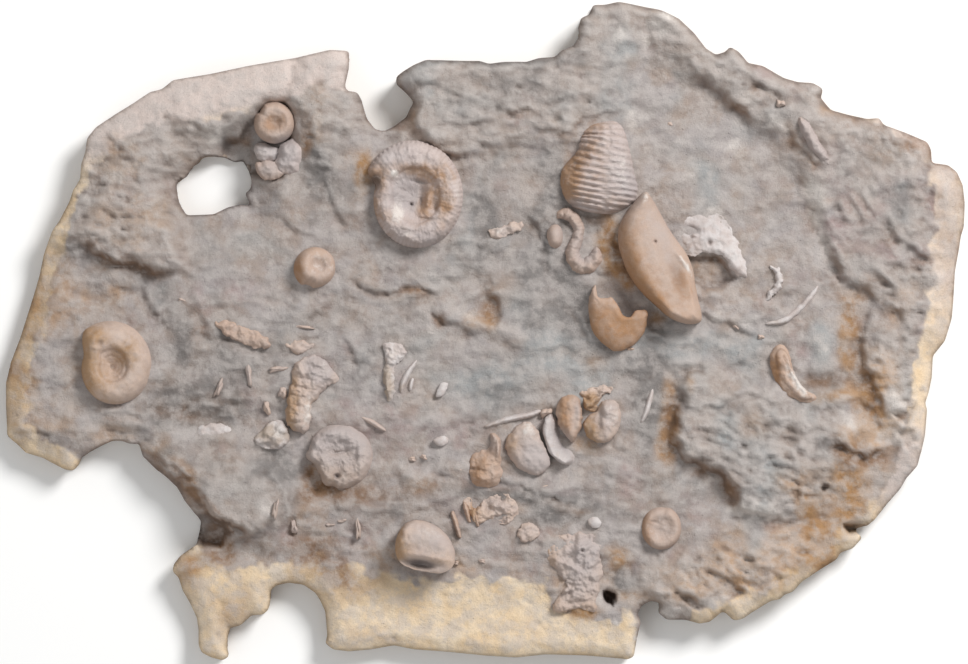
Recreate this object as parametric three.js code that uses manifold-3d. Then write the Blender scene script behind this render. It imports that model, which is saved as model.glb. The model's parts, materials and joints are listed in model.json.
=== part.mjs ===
// A slab of fossil-bearing rock, lying on its flat underside: ammonites, clam valves, snails, worm
// tubes and shell splinters stand out of a cleared floor, with higher layers of rock round it.
//
// Lengths and heights are in millimetres. Places on the slab are in drawing units, u to the right
// and v down from the slab's top left corner, because the whole drawing scales with the slab.
import * as THREE from "three";
import { mergeVertices } from "three/addons/utils/BufferGeometryUtils.js";
import Module from "manifold-3d";

const wasm = await Module();
wasm.setup();

// ---- driving dimensions ---------------------------------------------------------------------
const SLAB_LENGTH = 300; // the slab's longest extent, along X
const UNITS_ACROSS = 960; // the same extent in drawing units
const UNITS_DOWN = 660; // the slab's other extent in drawing units
const UNIT = SLAB_LENGTH / UNITS_ACROSS;
const CENTRE = [485, 332]; // the drawing's centre, which is the origin in plan

const FLOOR = 11; // the cleared floor above the underside
const SKY = 60; // above everything
const BURIED = 5; // how far a fossil's body is drawn below the rock before the rock is cut from it
const GRID = 27; // units between the points of the rock's surface
const SEAT_GAP = 0.3; // between a fossil and the rock that it sits in
const LUMPINESS = 0.8; // height of the rock's broad lumps
const LUMP_SIZE = 46; // units across a lump

const TAU = 2 * Math.PI;
const radians = (degrees) => (degrees * Math.PI) / 180;
const clamp = (x, low, high) => Math.min(high, Math.max(low, x));
const smooth = (x) => clamp(x, 0, 1) ** 2 * (3 - 2 * clamp(x, 0, 1));

// The place of drawing units in the part's frame.
const place = ([u, v]) => [(u - CENTRE[0]) * UNIT, (CENTRE[1] - v) * UNIT];

// ---- the slab's broken outline ----------------------------------------------------------------
const OUTLINE = [
  // the north-west corner, from the notch round to the west
  [349, 51], [330, 50], [295, 58], [248, 66], [210, 74], [173, 80], [162, 89], [150, 92], [135, 102],
  [114, 115], [96, 127], [87, 138], [85, 152], [81, 164], [80, 179], [73, 190], [69, 202], [59, 221],
  [52, 231], [43, 255], [39, 274], [33, 295], [27, 314], [19, 339], [10, 362], [5, 383], [5, 406],
  [6, 427], [6, 436], [17, 445], [25, 453], [42, 458], [57, 466], [65, 470], [73, 471], [77, 466],
  // the south-west bay and the foot below it
  [81, 458], [88, 453], [101, 446], [112, 441], [122, 441], [129, 444], [139, 444], [142, 456],
  [155, 469], [167, 478], [177, 488], [184, 501], [192, 511], [200, 522], [198, 534], [196, 545],
  [180, 556], [173, 565], [172, 572], [178, 578], [182, 591], [190, 605], [196, 618], [198, 630],
  [198, 645], [201, 653], [211, 658], [222, 661], [229, 657], [227, 650], [227, 639], [229, 629],
  [240, 626], [251, 616], [263, 615], [268, 610], [270, 603], [270, 591], [276, 586], [288, 583],
  [303, 585], [315, 593], [320, 601], [325, 612], [326, 624], [327, 636], [325, 644], [333, 650],
  // the south edge
  [349, 652], [371, 650], [382, 648], [394, 646], [414, 650], [443, 652], [484, 656], [516, 658],
  [545, 655], [586, 656], [620, 659], [628, 660], [634, 657], [637, 640], [641, 622], [638, 614],
  [642, 606], [651, 601], [660, 603], [658, 613], [667, 620], [685, 620], [700, 624], [710, 622],
  [716, 617], [723, 611], [729, 616], [734, 621], [743, 619], [753, 612], [771, 601], [781, 599],
  [784, 595], [793, 592], [802, 582], [820, 570], [837, 560], [841, 553], [853, 549], [863, 538],
  // the east edge
  [854, 530], [870, 526], [877, 518], [888, 504], [901, 489], [907, 478], [918, 466], [922, 450],
  [925, 435], [926, 421], [927, 410], [925, 403], [929, 391], [932, 377], [933, 356], [945, 341],
  [952, 318], [954, 292], [955, 271], [959, 250], [961, 236], [964, 227], [965, 203], [963, 185],
  [957, 172], [948, 165], [932, 163], [931, 149], [927, 142], [906, 133], [884, 125], [879, 118],
  // the north edge
  [867, 119], [849, 115], [831, 110], [821, 98], [823, 89], [813, 83], [798, 82], [784, 78],
  [763, 66], [748, 63], [739, 52], [730, 47], [725, 52], [716, 55], [706, 49], [694, 33], [679, 19],
  [661, 10], [640, 6], [619, 2], [604, 5], [593, 5], [589, 15], [581, 18], [578, 28], [579, 37],
  [573, 46], [561, 51], [555, 57], [539, 58], [527, 62], [505, 62], [489, 64], [480, 61], [463, 61],
  [426, 60], [414, 65], [402, 72], [396, 77], [396, 84], [406, 93], [414, 102], [410, 108],
  // the notch in the north edge
  [406, 117], [394, 126], [384, 131], [375, 129], [367, 119], [364, 109], [361, 99], [357, 92],
  [347, 91], [345, 86], [349, 68],
];

// The hole broken through the slab.
const HOLE = [
  [207, 156], [224, 157], [234, 162], [242, 160], [248, 171], [251, 180], [250, 189], [244, 193],
  [247, 199], [250, 205], [240, 204], [227, 207], [213, 214], [186, 215], [179, 204], [177, 195],
  [176, 186], [178, 181], [186, 177], [191, 168], [198, 162], [200, 158],
];

// Pits sunk into the rock: place, radius in units, depth of the pit's bottom above the underside.
const PITS = [
  { at: [610, 598], radius: 6, bottom: 2 },
  { at: [825, 489], radius: 5.5, bottom: 4 },
];

// ---- landforms ---------------------------------------------------------------------------------
// Layers of rock left standing above the floor: rise in mm, edge width in units, and outline.
const SHELVES = [
  {
    name: "north-west layer", rise: 5, edge: 8,
    points: [
      [-40, 330], [45, 250], [75, 240], [95, 250], [115, 262], [140, 265], [165, 272], [182, 266],
      [178, 240], [176, 215], [178, 180], [196, 160], [215, 150], [235, 138], [252, 120], [268, 103],
      [290, 92], [300, 70], [310, 20], [-40, -20],
    ],
  },
  {
    name: "ridge beside the notch", rise: 4.5, edge: 8,
    points: [
      [285, 90], [297, 120], [305, 145], [318, 170], [330, 172], [336, 152], [346, 140], [368, 126],
      [360, 98], [350, 20], [295, 20],
    ],
  },
  {
    name: "north layer", rise: 3.5, edge: 9,
    points: [
      [390, 60], [414, 105], [412, 120], [425, 140], [440, 152], [463, 158], [478, 153], [505, 140],
      [530, 135], [560, 138], [575, 128], [592, 108], [618, 88], [634, 60], [640, 20], [660, -20],
      [380, -20],
    ],
  },
  {
    name: "east layer", rise: 4.5, edge: 10,
    points: [
      [648, 10], [664, 48], [690, 71], [711, 84], [727, 98], [740, 112], [754, 124], [772, 132],
      [788, 152], [804, 179], [816, 212], [832, 256], [850, 282], [868, 290], [882, 302], [886, 316],
      [872, 342], [864, 366], [876, 392], [890, 420], [905, 450], [1000, 470], [1000, 60], [720, -20],
    ],
  },
  {
    name: "south-east layer", rise: 4.5, edge: 6,
    points: [
      [693, 375], [681, 386], [686, 402], [679, 414], [677, 430], [675, 443], [685, 457], [703, 463],
      [714, 466], [726, 475], [732, 490], [739, 507], [756, 514], [780, 512], [812, 500], [838, 480],
      [852, 455], [846, 428], [836, 404], [812, 408], [775, 396], [750, 388], [722, 384], [706, 372],
    ],
  },
  {
    name: "south-west block", rise: 3, edge: 6,
    points: [
      [192, 484], [206, 502], [215, 516], [234, 524], [251, 534], [263, 529], [279, 521], [284, 498],
      [272, 474], [246, 462], [214, 466],
    ],
  },
  {
    name: "south layer", rise: 2, edge: 8,
    points: [
      [640, 562], [642, 584], [656, 598], [672, 640], [740, 640], [830, 580], [810, 545], [760, 548],
      [700, 556],
    ],
  },
];

// Rounded hollows (negative) and swells (positive): place, radii in units, turn in degrees, mm.
const SWELLS = [
  { at: [246, 150], radii: [20, 16], turn: 20, rise: -4 },
  { at: [280, 150], radii: [26, 30], turn: 0, rise: -2.5 },
  { at: [632, 298], radii: [16, 22], turn: -30, rise: -4 },
  { at: [595, 226], radii: [18, 12], turn: 0, rise: -2.5 },
  { at: [714, 268], radii: [26, 14], turn: -15, rise: -3.5 },
  { at: [828, 378], radii: [20, 10], turn: 0, rise: -4 },
  { at: [738, 403], radii: [22, 9], turn: 20, rise: -4 },
  { at: [716, 490], radii: [18, 22], turn: 0, rise: -3 },
  { at: [212, 424], radii: [32, 18], turn: 0, rise: -2.5 },
  { at: [490, 306], radii: [13, 11], turn: 30, rise: -2.5 },
  { at: [484, 326], radii: [22, 8], turn: 15, rise: 1.6 },
  { at: [420, 292], radii: [30, 6], turn: -10, rise: 1.2 },
  { at: [740, 150], radii: [60, 70], turn: 0, rise: -1.5 },
  { at: [100, 300], radii: [40, 26], turn: 0, rise: -1.8 },
  { at: [315, 470], radii: [20, 34], turn: 0, rise: -2.5 },
  { at: [850, 425], radii: [22, 16], turn: 0, rise: -3.5 },
  { at: [878, 452], radii: [20, 13], turn: 25, rise: 4 },
  { at: [600, 578], radii: [24, 20], turn: 0, rise: -1.5 },
  { at: [450, 620], radii: [150, 40], turn: 0, rise: -2 },
  { at: [215, 600], radii: [40, 60], turn: 0, rise: -2 },
  { at: [560, 470], radii: [80, 30], turn: 20, rise: -1.2 },
];

// How far the edge is worn down, round the slab: bearing in degrees from +X, width in units, mm.
const WORN_EDGE = [
  [-180, 26, 3.5], [-150, 14, 2], [-90, 10, 2], [-60, 10, 2], [-35, 12, 2.5], [-10, 26, 3.5],
  [12, 28, 4], [30, 16, 3], [60, 8, 1.5], [100, 8, 1.5], [125, 26, 3.5], [150, 40, 5.5],
  [168, 30, 4.5], [180, 26, 3.5],
];

// The nearest place on a polygon's edge, and the distance from it, positive inside the polygon.
function nearestEdge(points, u, v) {
  const found = { distance: Infinity, at: [u, v] };
  let inside = false;
  points.forEach(([au, av], i) => {
    const [bu, bv] = points[(i + 1) % points.length];
    const [du, dv] = [bu - au, bv - av];
    const along = clamp(((u - au) * du + (v - av) * dv) / (du * du + dv * dv), 0, 1);
    const [nu, nv] = [au + along * du, av + along * dv];
    const distance = Math.hypot(u - nu, v - nv);
    if (distance < found.distance) Object.assign(found, { distance, at: [nu, nv] });
    if (av > v !== bv > v && u < au + (du * (v - av)) / dv) inside = !inside;
  });
  return inside ? found : { distance: -found.distance, at: found.at };
}

// Lumps of rock: random heights from -1 to 1 on a square lattice, blended smoothly between.
function lumps(u, v, size) {
  const corner = (i, j) => {
    const scrambled = Math.sin(i * 127.1 + j * 311.7) * 43758.5453;
    return 2 * (scrambled - Math.floor(scrambled)) - 1;
  };
  const [i, j] = [Math.floor(u / size), Math.floor(v / size)];
  const [s, t] = [smooth(u / size - i), smooth(v / size - j)];
  const near = corner(i, j) * (1 - s) + corner(i + 1, j) * s;
  const far = corner(i, j + 1) * (1 - s) + corner(i + 1, j + 1) * s;
  return near * (1 - t) + far * t;
}

// Width and drop of the worn edge on the bearing of a place, between the bearings listed.
function wornEdge(u, v) {
  const bearing = (Math.atan2(CENTRE[1] - v, u - CENTRE[0]) * 180) / Math.PI;
  const next = Math.max(1, WORN_EDGE.findIndex(([b]) => b >= bearing));
  const [b0, width0, drop0] = WORN_EDGE[next - 1];
  const [b1, width1, drop1] = WORN_EDGE[next];
  const t = (bearing - b0) / (b1 - b0);
  return [width0 + t * (width1 - width0), drop0 + t * (drop1 - drop0)];
}

// Height of the rock above the underside where no layer is left on the floor.
function ground(u, v) {
  let height = FLOOR;
  for (const { at, radii, turn, rise } of SWELLS) {
    const [c, s] = [Math.cos(radians(turn)), Math.sin(radians(turn))];
    const [du, dv] = [u - at[0], v - at[1]];
    const away = Math.hypot((du * c - dv * s) / radii[0], (du * s + dv * c) / radii[1]);
    height += rise * Math.exp(-away * away);
  }
  height += LUMPINESS * lumps(u, v, LUMP_SIZE);
  const [width, drop] = wornEdge(u, v);
  const fromEdge = nearestEdge(OUTLINE, u, v).distance;
  return height - drop * (1 - smooth(fromEdge / width));
}

// Height of the rock above the underside, with the layers.
function relief(u, v) {
  const share = ({ edge, points }) => smooth(0.5 + nearestEdge(points, u, v).distance / edge);
  return ground(u, v) + Math.max(...SHELVES.map((shelf) => shelf.rise * share(shelf)));
}

// ---- closed bodies -----------------------------------------------------------------------------
// Makes a solid of a closed mesh, given as points and triangles, and turns its skin to face out.
function solidFrom(points, triangles) {
  const geometry = new THREE.BufferGeometry();
  geometry.setAttribute("position", new THREE.Float32BufferAttribute(points.flat(), 3));
  geometry.setIndex(triangles.flat());
  const merged = mergeVertices(geometry, 1e-4);
  const position = merged.attributes.position;
  const index = merged.index.array;
  const corner = (k) => new THREE.Vector3().fromBufferAttribute(position, index[k]);
  let volume = 0;
  for (let k = 0; k < index.length; k += 3) {
    volume += corner(k).dot(corner(k + 1).cross(corner(k + 2)));
  }
  const triVerts = new Uint32Array(index.length);
  for (let k = 0; k < index.length; k += 3) {
    const [b, c] = volume > 0 ? [k + 1, k + 2] : [k + 2, k + 1];
    triVerts.set([index[k], index[b], index[c]], k);
  }
  return new wasm.Manifold(
    new wasm.Mesh({ numProp: 3, vertProperties: new Float32Array(position.array), triVerts }),
  );
}

// A body whose skin runs through a row of rings of equally many points, with a pole at each end.
function ringBody(rings, firstPole, lastPole) {
  const count = rings[0].length;
  const points = [...rings.flat(), firstPole, lastPole];
  const at = (ring, k) => ring * count + (k % count);
  const triangles = [];
  for (let k = 0; k < count; k++) {
    triangles.push([points.length - 2, at(0, k + 1), at(0, k)]);
    triangles.push([points.length - 1, at(rings.length - 1, k), at(rings.length - 1, k + 1)]);
    for (let ring = 0; ring + 1 < rings.length; ring++) {
      triangles.push([at(ring, k), at(ring, k + 1), at(ring + 1, k + 1)]);
      triangles.push([at(ring, k), at(ring + 1, k + 1), at(ring + 1, k)]);
    }
  }
  return solidFrom(points, triangles);
}

// A wall round an outline given in units, through levels of { z, grow }, with flat ends.
function walled(outline, levels) {
  const plan = outline.map((p) => new THREE.Vector2(...place(p)));
  if (THREE.ShapeUtils.isClockWise(plan)) plan.reverse();
  const count = plan.length;
  const grown = (by) =>
    plan.map((p, k) => {
      const along = plan[(k + 1) % count].clone().sub(plan.at(k - 1)).normalize();
      return new THREE.Vector2(p.x + by * UNIT * along.y, p.y - by * UNIT * along.x);
    });
  const rings = levels.map(({ grow }) => grown(grow));
  const points = rings.flatMap((ring, level) => ring.map(({ x, y }) => [x, y, levels[level].z]));
  const triangles = [];
  for (let level = 0; level + 1 < rings.length; level++) {
    for (let k = 0; k < count; k++) {
      const [a, b] = [level * count + k, level * count + ((k + 1) % count)];
      triangles.push([a, b, b + count], [a, b + count, a + count]);
    }
  }
  const top = (rings.length - 1) * count;
  for (const [a, b, c] of THREE.ShapeUtils.triangulateShape(rings[0], [])) {
    triangles.push([c, b, a]);
  }
  for (const [a, b, c] of THREE.ShapeUtils.triangulateShape(rings.at(-1), [])) {
    triangles.push([a + top, b + top, c + top]);
  }
  return solidFrom(points, triangles);
}

// A block whose upper face is the ground, lifted by a rise.
function groundBlock(rise) {
  const margin = 30;
  const columns = Math.ceil((UNITS_ACROSS + 2 * margin) / GRID);
  const rows = Math.ceil((UNITS_DOWN + 2 * margin) / GRID);
  const spots = [];
  for (let row = 0; row <= rows; row++) {
    for (let column = 0; column <= columns; column++) {
      const stagger = (row % 2) * GRID * 0.5;
      spots.push([column * GRID + stagger - margin, row * GRID - margin]);
    }
  }
  const points = [
    ...spots.map((p) => [...place(p), ground(...p) + rise]),
    ...spots.map((p) => [...place(p), -BURIED]),
  ];
  const at = (row, column) => row * (columns + 1) + column;
  const triangles = [];
  const quad = (a, b, c, d) => triangles.push([a, b, c], [a, c, d]);
  for (let row = 0; row < rows; row++) {
    for (let column = 0; column < columns; column++) {
      const corners = [[0, 0], [0, 1], [1, 1], [1, 0]].map(([r, c]) => at(row + r, column + c));
      const [a, b, c, d] = row % 2 ? [...corners.slice(1), corners[0]] : corners;
      quad(a, b, c, d);
      quad(...[d, c, b, a].map((k) => k + spots.length));
    }
  }
  const border = [];
  for (let column = 0; column < columns; column++) border.push(at(0, column));
  for (let row = 0; row < rows; row++) border.push(at(row, columns));
  for (let column = columns; column > 0; column--) border.push(at(rows, column));
  for (let row = rows; row > 0; row--) border.push(at(row, 0));
  border.forEach((a, k) => {
    const b = border[(k + 1) % border.length];
    quad(b, a, a + spots.length, b + spots.length);
  });
  return solidFrom(points, triangles);
}

// A layer of rock on the ground, with a steep ledge along its outline.
function layerBlock({ rise, edge, points }) {
  const ledge = walled(points, [
    { z: FLOOR - BURIED, grow: edge },
    { z: FLOOR + 2 * BURIED, grow: -edge },
  ]);
  return groundBlock(rise).intersect(ledge);
}

// ---- fossils -----------------------------------------------------------------------------------
// Coiled shells lying on their sides: place and reach to the mouth in units, growth of the radius
// over one turn, bearing of the mouth and turn of the tilt in degrees (clockwise on the drawing),
// rise of the whorl's crest above the rock in mm, ribs round the turn, lift of the whole shell.
const COILS = [
  {
    name: "ammonite_large", at: [415, 198], reach: 60, stretch: [0.93, 1.04], growth: 1.42,
    mouth: 212, rise: 8, ribs: 20, steps: 40, tone: "shell_grey",
  },
  {
    name: "ammonite_west", at: [116, 362], reach: 44, stretch: [0.92, 1.02], growth: 1.4,
    mouth: 232, rise: 8, steps: 22, tone: "shell_cream",
  },
  {
    name: "ammonite_centre", at: [317, 269], reach: 21.5, stretch: [1, 1], growth: 1.25,
    mouth: 120, rise: 6, steps: 14, tone: "shell_tan",
  },
  {
    name: "ammonite_niche", at: [275, 124], reach: 23.5, stretch: [1, 0.95], growth: 1.25,
    mouth: 250, rise: 6, steps: 14, tone: "shell_tan",
  },
  {
    name: "ammonite_worn", at: [340, 456], reach: 35, stretch: [1, 1], growth: 1.25,
    mouth: 150, rise: 6, steps: 18, tone: "shell_cream",
  },
  {
    name: "ammonite_tilted", at: [427, 545], reach: 31, stretch: [1, 0.94], growth: 1.2,
    mouth: 200, rise: 8, steps: 16, tilt: 42, towards: 98, lift: 2.5, tone: "shell_cream",
  },
  {
    name: "ammonite_ring", at: [663, 529], reach: 21.5, stretch: [0.95, 1.05], growth: 1.2,
    mouth: 300, rise: 4, steps: 14, tone: "shell_tan",
  },
];

// The half section of a coil from its venter to its hub: share of the radius, share of the rise,
// and how far the ring follows the spiral rather than a circle.
const COIL_SECTION = [
  [1, -0.5, 1], [0.96, 0.7, 1], [0.8, 1, 0.9], [0.6, 0.6, 0.5], [0.48, 0.66, 0.2], [0.28, 0.4, 0],
];

// Rounded shells and lumps: outline in units, crown as a point or a line, rise of the crown and
// of the rim above the rock in mm, and how square the shoulder between them is.
const MOUNDS = [
  {
    name: "clam_valve", rise: 10, rim: 1.5, tone: "shell_tan",
    crown: [[645, 225], [646, 250], [655, 275], [668, 296]],
    outline: [
      [646, 193], [656, 208], [668, 225], [682, 247], [692, 266], [695, 285], [697, 304], [699, 321],
      [685, 323], [669, 319], [654, 310], [640, 297], [628, 279], [620, 258], [618, 238], [622, 222],
      [633, 207],
    ],
  },
  {
    name: "clam_broken", rise: 6.5, rim: 2, tone: "shell_tan", crown: [[604, 312], [622, 328]],
    outline: [
      [596, 285], [601, 298], [612, 298], [620, 311], [629, 317], [637, 309], [645, 310], [647, 326],
      [640, 342], [625, 350], [608, 346], [595, 334], [589, 316], [590, 297],
    ],
  },
  {
    name: "shell_lace", rise: 2.6, rim: 1.4, tone: "shell_white", crown: [[700, 218], [734, 262]],
    outline: [
      [680, 210], [697, 213], [713, 206], [723, 214], [731, 230], [741, 247], [749, 264], [742, 279],
      [731, 272], [724, 258], [708, 254], [695, 250], [686, 238], [676, 224],
    ],
    holes: [[[687, 229], [697, 231], [703, 234], [702, 240], [690, 238]]],
  },
  {
    name: "clam_crescent", rise: 4, rim: 1.5, tone: "shell_tan", crown: [[788, 360], [794, 388]],
    outline: [
      [780, 350], [793, 348], [800, 356], [797, 368], [802, 382], [812, 394], [808, 404], [794, 400],
      [783, 388], [776, 372],
    ],
  },
  {
    name: "oyster_hooked", rise: 5, rim: 1.5, tone: "shell_tan", crown: [[484, 468]],
    outline: [
      [490, 432], [498, 436], [500, 450], [502, 468], [498, 482], [486, 488], [474, 481], [468, 468],
      [472, 456], [484, 450], [491, 444],
    ],
  },
  {
    name: "clam_oval", rise: 5.5, rim: 1.5, tone: "shell_cream", crown: [[524, 440], [531, 458]],
    outline: [
      [523, 422], [532, 424], [541, 438], [549, 456], [546, 468], [534, 474], [520, 470], [510, 458],
      [507, 444], [514, 432],
    ],
  },
  {
    name: "clam_edge", rise: 4.5, rim: 2.2, tone: "shell_white", crown: [[550, 430], [560, 452]],
    outline: [
      [549, 417], [554, 418], [555, 430], [560, 443], [569, 452], [574, 459], [566, 463], [556, 456],
      [549, 445], [545, 431],
    ],
  },
  {
    name: "clam_cup_west", rise: 5.5, rim: 1.5, tone: "shell_tan", crown: [[570, 408], [571, 426]],
    outline: [
      [561, 400], [570, 396], [579, 398], [581, 412], [580, 427], [572, 439], [564, 434], [559, 420],
      [558, 408],
    ],
  },
  {
    name: "clam_cup_east", rise: 5.5, rim: 1.5, tone: "shell_cream", crown: [[607, 410], [600, 428]],
    outline: [
      [602, 403], [611, 400], [619, 406], [621, 420], [616, 435], [604, 443], [592, 438], [584, 426],
      [592, 418], [600, 412],
    ],
  },
  {
    name: "shell_crumbs", rise: 3, rim: 1.2, tone: "shell_cream", crown: [[592, 400]],
    outline: [[584, 395], [593, 390], [610, 389], [611, 395], [601, 398], [597, 409], [587, 415]],
  },
  {
    name: "snail_spired", rise: 5, rim: 1.5, tone: "shell_cream", crown: [[314, 370], [298, 418]],
    outline: [
      [300, 359], [317, 353], [327, 364], [338, 377], [329, 386], [320, 397], [314, 412], [306, 432],
      [296, 430], [288, 424], [288, 406], [291, 388], [291, 370],
    ],
  },
  {
    name: "lump_spired", rise: 4, rim: 1.5, tone: "shell_white", crown: [[278, 436]],
    outline: [[272, 424], [281, 421], [286, 430], [290, 444], [281, 451], [268, 448], [260, 441]],
  },
  {
    name: "lump_niche_west", rise: 4, rim: 1, tone: "shell_white", crown: [[265, 152]],
    outline: [[254, 146], [264, 144], [276, 150], [276, 157], [264, 160], [255, 156]],
  },
  {
    name: "lump_niche_east", rise: 5, rim: 1, tone: "shell_grey", crown: [[288, 154]],
    outline: [[282, 147], [292, 141], [300, 148], [299, 162], [290, 171], [281, 164]],
  },
  {
    name: "lump_niche_south", rise: 3.5, rim: 1, tone: "shell_tan", crown: [[267, 169]],
    outline: [[257, 165], [268, 163], [276, 168], [274, 176], [262, 176]],
  },
  {
    name: "ammonite_crumbled", rise: 4.5, rim: 1.5, tone: "shell_cream", crown: [[580, 550], [578, 575]],
    outline: [
      [548, 539], [562, 536], [577, 532], [593, 535], [604, 545], [600, 560], [604, 576], [603, 590],
      [594, 596], [588, 608], [574, 600], [560, 611], [554, 600], [562, 588], [556, 576], [544, 562],
    ],
  },
  {
    name: "shell_heap_west", rise: 3.5, rim: 1.2, tone: "shell_cream", crown: [[484, 508], [506, 508]],
    outline: [
      [479, 499], [492, 498], [505, 494], [515, 504], [518, 517], [508, 522], [496, 518], [484, 514],
    ],
  },
  {
    name: "shell_heap_east", rise: 3, rim: 1, tone: "shell_cream", crown: [[527, 532]],
    outline: [[518, 531], [528, 523], [537, 530], [534, 540], [522, 541]],
  },
  {
    name: "splinter_broad", rise: 3, rim: 1.2, tone: "shell_white", crown: [[389, 355], [388, 385]],
    outline: [
      [384, 345], [395, 343], [402, 352], [401, 362], [394, 368], [395, 382], [393, 398], [388, 402],
      [384, 388], [381, 368],
    ],
  },
  {
    name: "flake_white", rise: 2, rim: 0.9, tone: "shell_white", crown: [[205, 430], [222, 430]],
    outline: [[196, 430], [206, 425], [222, 424], [232, 430], [224, 437], [200, 438]],
  },
  {
    name: "flake_north", rise: 2, rim: 0.9, tone: "shell_cream", crown: [[500, 232], [514, 228]],
    outline: [[490, 230], [503, 226], [518, 222], [523, 228], [510, 234], [500, 240], [491, 236]],
  },
  {
    name: "shard_tan", rise: 2.4, rim: 1, tone: "shell_tan", crown: [[228, 330], [252, 338]],
    outline: [
      [213, 323], [226, 320], [242, 326], [256, 330], [270, 344], [262, 349], [246, 344], [230, 338],
    ],
  },
  {
    name: "shell_egg", rise: 2.6, rim: 0.8, tone: "shell_white", crown: [[594, 523]],
    outline: [[588, 520], [594, 517], [601, 521], [600, 527], [594, 530], [588, 527]],
  },
  {
    name: "chip_north", rise: 2, rim: 0.8, tone: "shell_cream", crown: [[298, 346]],
    outline: [[286, 344], [298, 341], [313, 344], [308, 351], [296, 354]],
  },
  {
    name: "chip_east", rise: 2, rim: 0.8, tone: "shell_white", crown: [[442, 390]],
    outline: [[440, 384], [448, 383], [446, 391], [441, 397], [436, 396]],
  },
  {
    name: "chip_south", rise: 2, rim: 0.8, tone: "shell_white", crown: [[440, 441]],
    outline: [[433, 440], [441, 436], [448, 438], [447, 444], [439, 446]],
  },
];

// Long shells, tubes and slivers: path in units, half widths and rises above the rock along it.
const STRANDS = [
  {
    name: "ammonite_on_edge", sides: 8, steps: 28, ribs: 14, tone: "shell_grey",
    path: [[610, 119], [606, 135], [603, 155], [600, 175], [599, 195], [600, 212]],
    half: [12, 26, 33, 38, 36, 20], rise: [2, 6.5, 8.5, 9.5, 8.5, 4],
  },
  {
    name: "worm_tube", sides: 6, steps: 11, tone: "shell_tan",
    path: [
      [556, 220], [563, 216], [570, 219], [574, 228], [573, 240], [573, 252], [580, 262], [589, 264],
      [595, 256],
    ],
    half: [4, 5, 5, 5, 5, 5, 5, 5, 4], rise: [3, 4, 4.5, 4.5, 4, 3.5, 3.5, 3.5, 3],
  },
  {
    name: "worm_bead", sides: 8, steps: 5, tone: "shell_tan",
    path: [[555, 228], [555, 234], [555, 240], [555, 247]], half: [5, 8, 8, 5], rise: [3, 5, 5, 3],
  },
  {
    name: "belemnite", sides: 8, steps: 6, tone: "shell_tan",
    path: [[798, 117], [806, 130], [814, 145], [822, 156], [828, 167]],
    half: [4, 6, 6, 5, 3], rise: [3, 4, 4, 3.5, 2],
  },
  {
    name: "shell_hook", sides: 6, steps: 7, tone: "shell_white",
    path: [[770, 266], [778, 273], [778, 285], [771, 294], [765, 303]],
    half: [2.5, 3.5, 3.5, 3, 2], rise: [1.4, 1.8, 1.8, 1.6, 1.2],
  },
  {
    name: "shell_arc", sides: 6, steps: 7, tone: "shell_white",
    path: [[766, 324], [785, 320], [802, 306], [811, 296], [818, 286]],
    half: [2, 3, 3, 3, 2], rise: [1.2, 1.5, 1.5, 1.5, 1.2],
  },
  {
    name: "clam_edge_long", sides: 6, steps: 6, tone: "shell_white",
    path: [[484, 427], [505, 420], [528, 415], [541, 411]],
    half: [1.6, 2.4, 2.4, 1.6], rise: [1.6, 2.4, 2.4, 1.6],
  },
  {
    name: "splinter_long", sides: 6, steps: 6, tone: "shell_white",
    path: [[417, 360], [409, 371], [403, 383], [401, 394]],
    half: [1.8, 3, 3, 1.8], rise: [1.6, 2.4, 2.4, 1.6],
  },
  {
    name: "splinter_short", sides: 6, steps: 4, tone: "shell_white",
    path: [[413, 378], [411, 384], [410, 391]], half: [1.6, 2.2, 1.6], rise: [1.4, 1.8, 1.4],
  },
  {
    name: "splinter_east", sides: 6, steps: 6, tone: "shell_white",
    path: [[653, 388], [650, 399], [646, 412], [641, 423]],
    half: [1.8, 2.8, 2.8, 1.8], rise: [1.4, 2, 2, 1.4],
  },
  {
    name: "splinter_west", sides: 6, steps: 5, tone: "shell_cream",
    path: [[359, 416], [370, 421], [378, 426], [386, 431]],
    half: [1.6, 2.6, 2.4, 1.6], rise: [1.3, 1.7, 1.7, 1.3],
  },
  {
    name: "slat_a", sides: 6, steps: 5, tone: "shell_tan",
    path: [[452, 511], [456, 524], [460, 538]], half: [2, 2.8, 2], rise: [2, 3, 2],
  },
  {
    name: "slat_b", sides: 6, steps: 5, tone: "shell_tan",
    path: [[464, 502], [467, 512], [470, 523]], half: [2, 2.6, 2], rise: [2, 3, 2],
  },
  {
    name: "slat_c", sides: 6, steps: 5, tone: "shell_tan",
    path: [[474, 508], [476, 517], [478, 527]], half: [1.8, 2.4, 1.8], rise: [2, 3, 2],
  },
];

const TONES = {
  matrix_grey: 0xaea49c,
  shell_grey: 0xb9aaa2,
  shell_cream: 0xc6b3a2,
  shell_tan: 0xb39377,
  shell_white: 0xd6d0cb,
};

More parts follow.
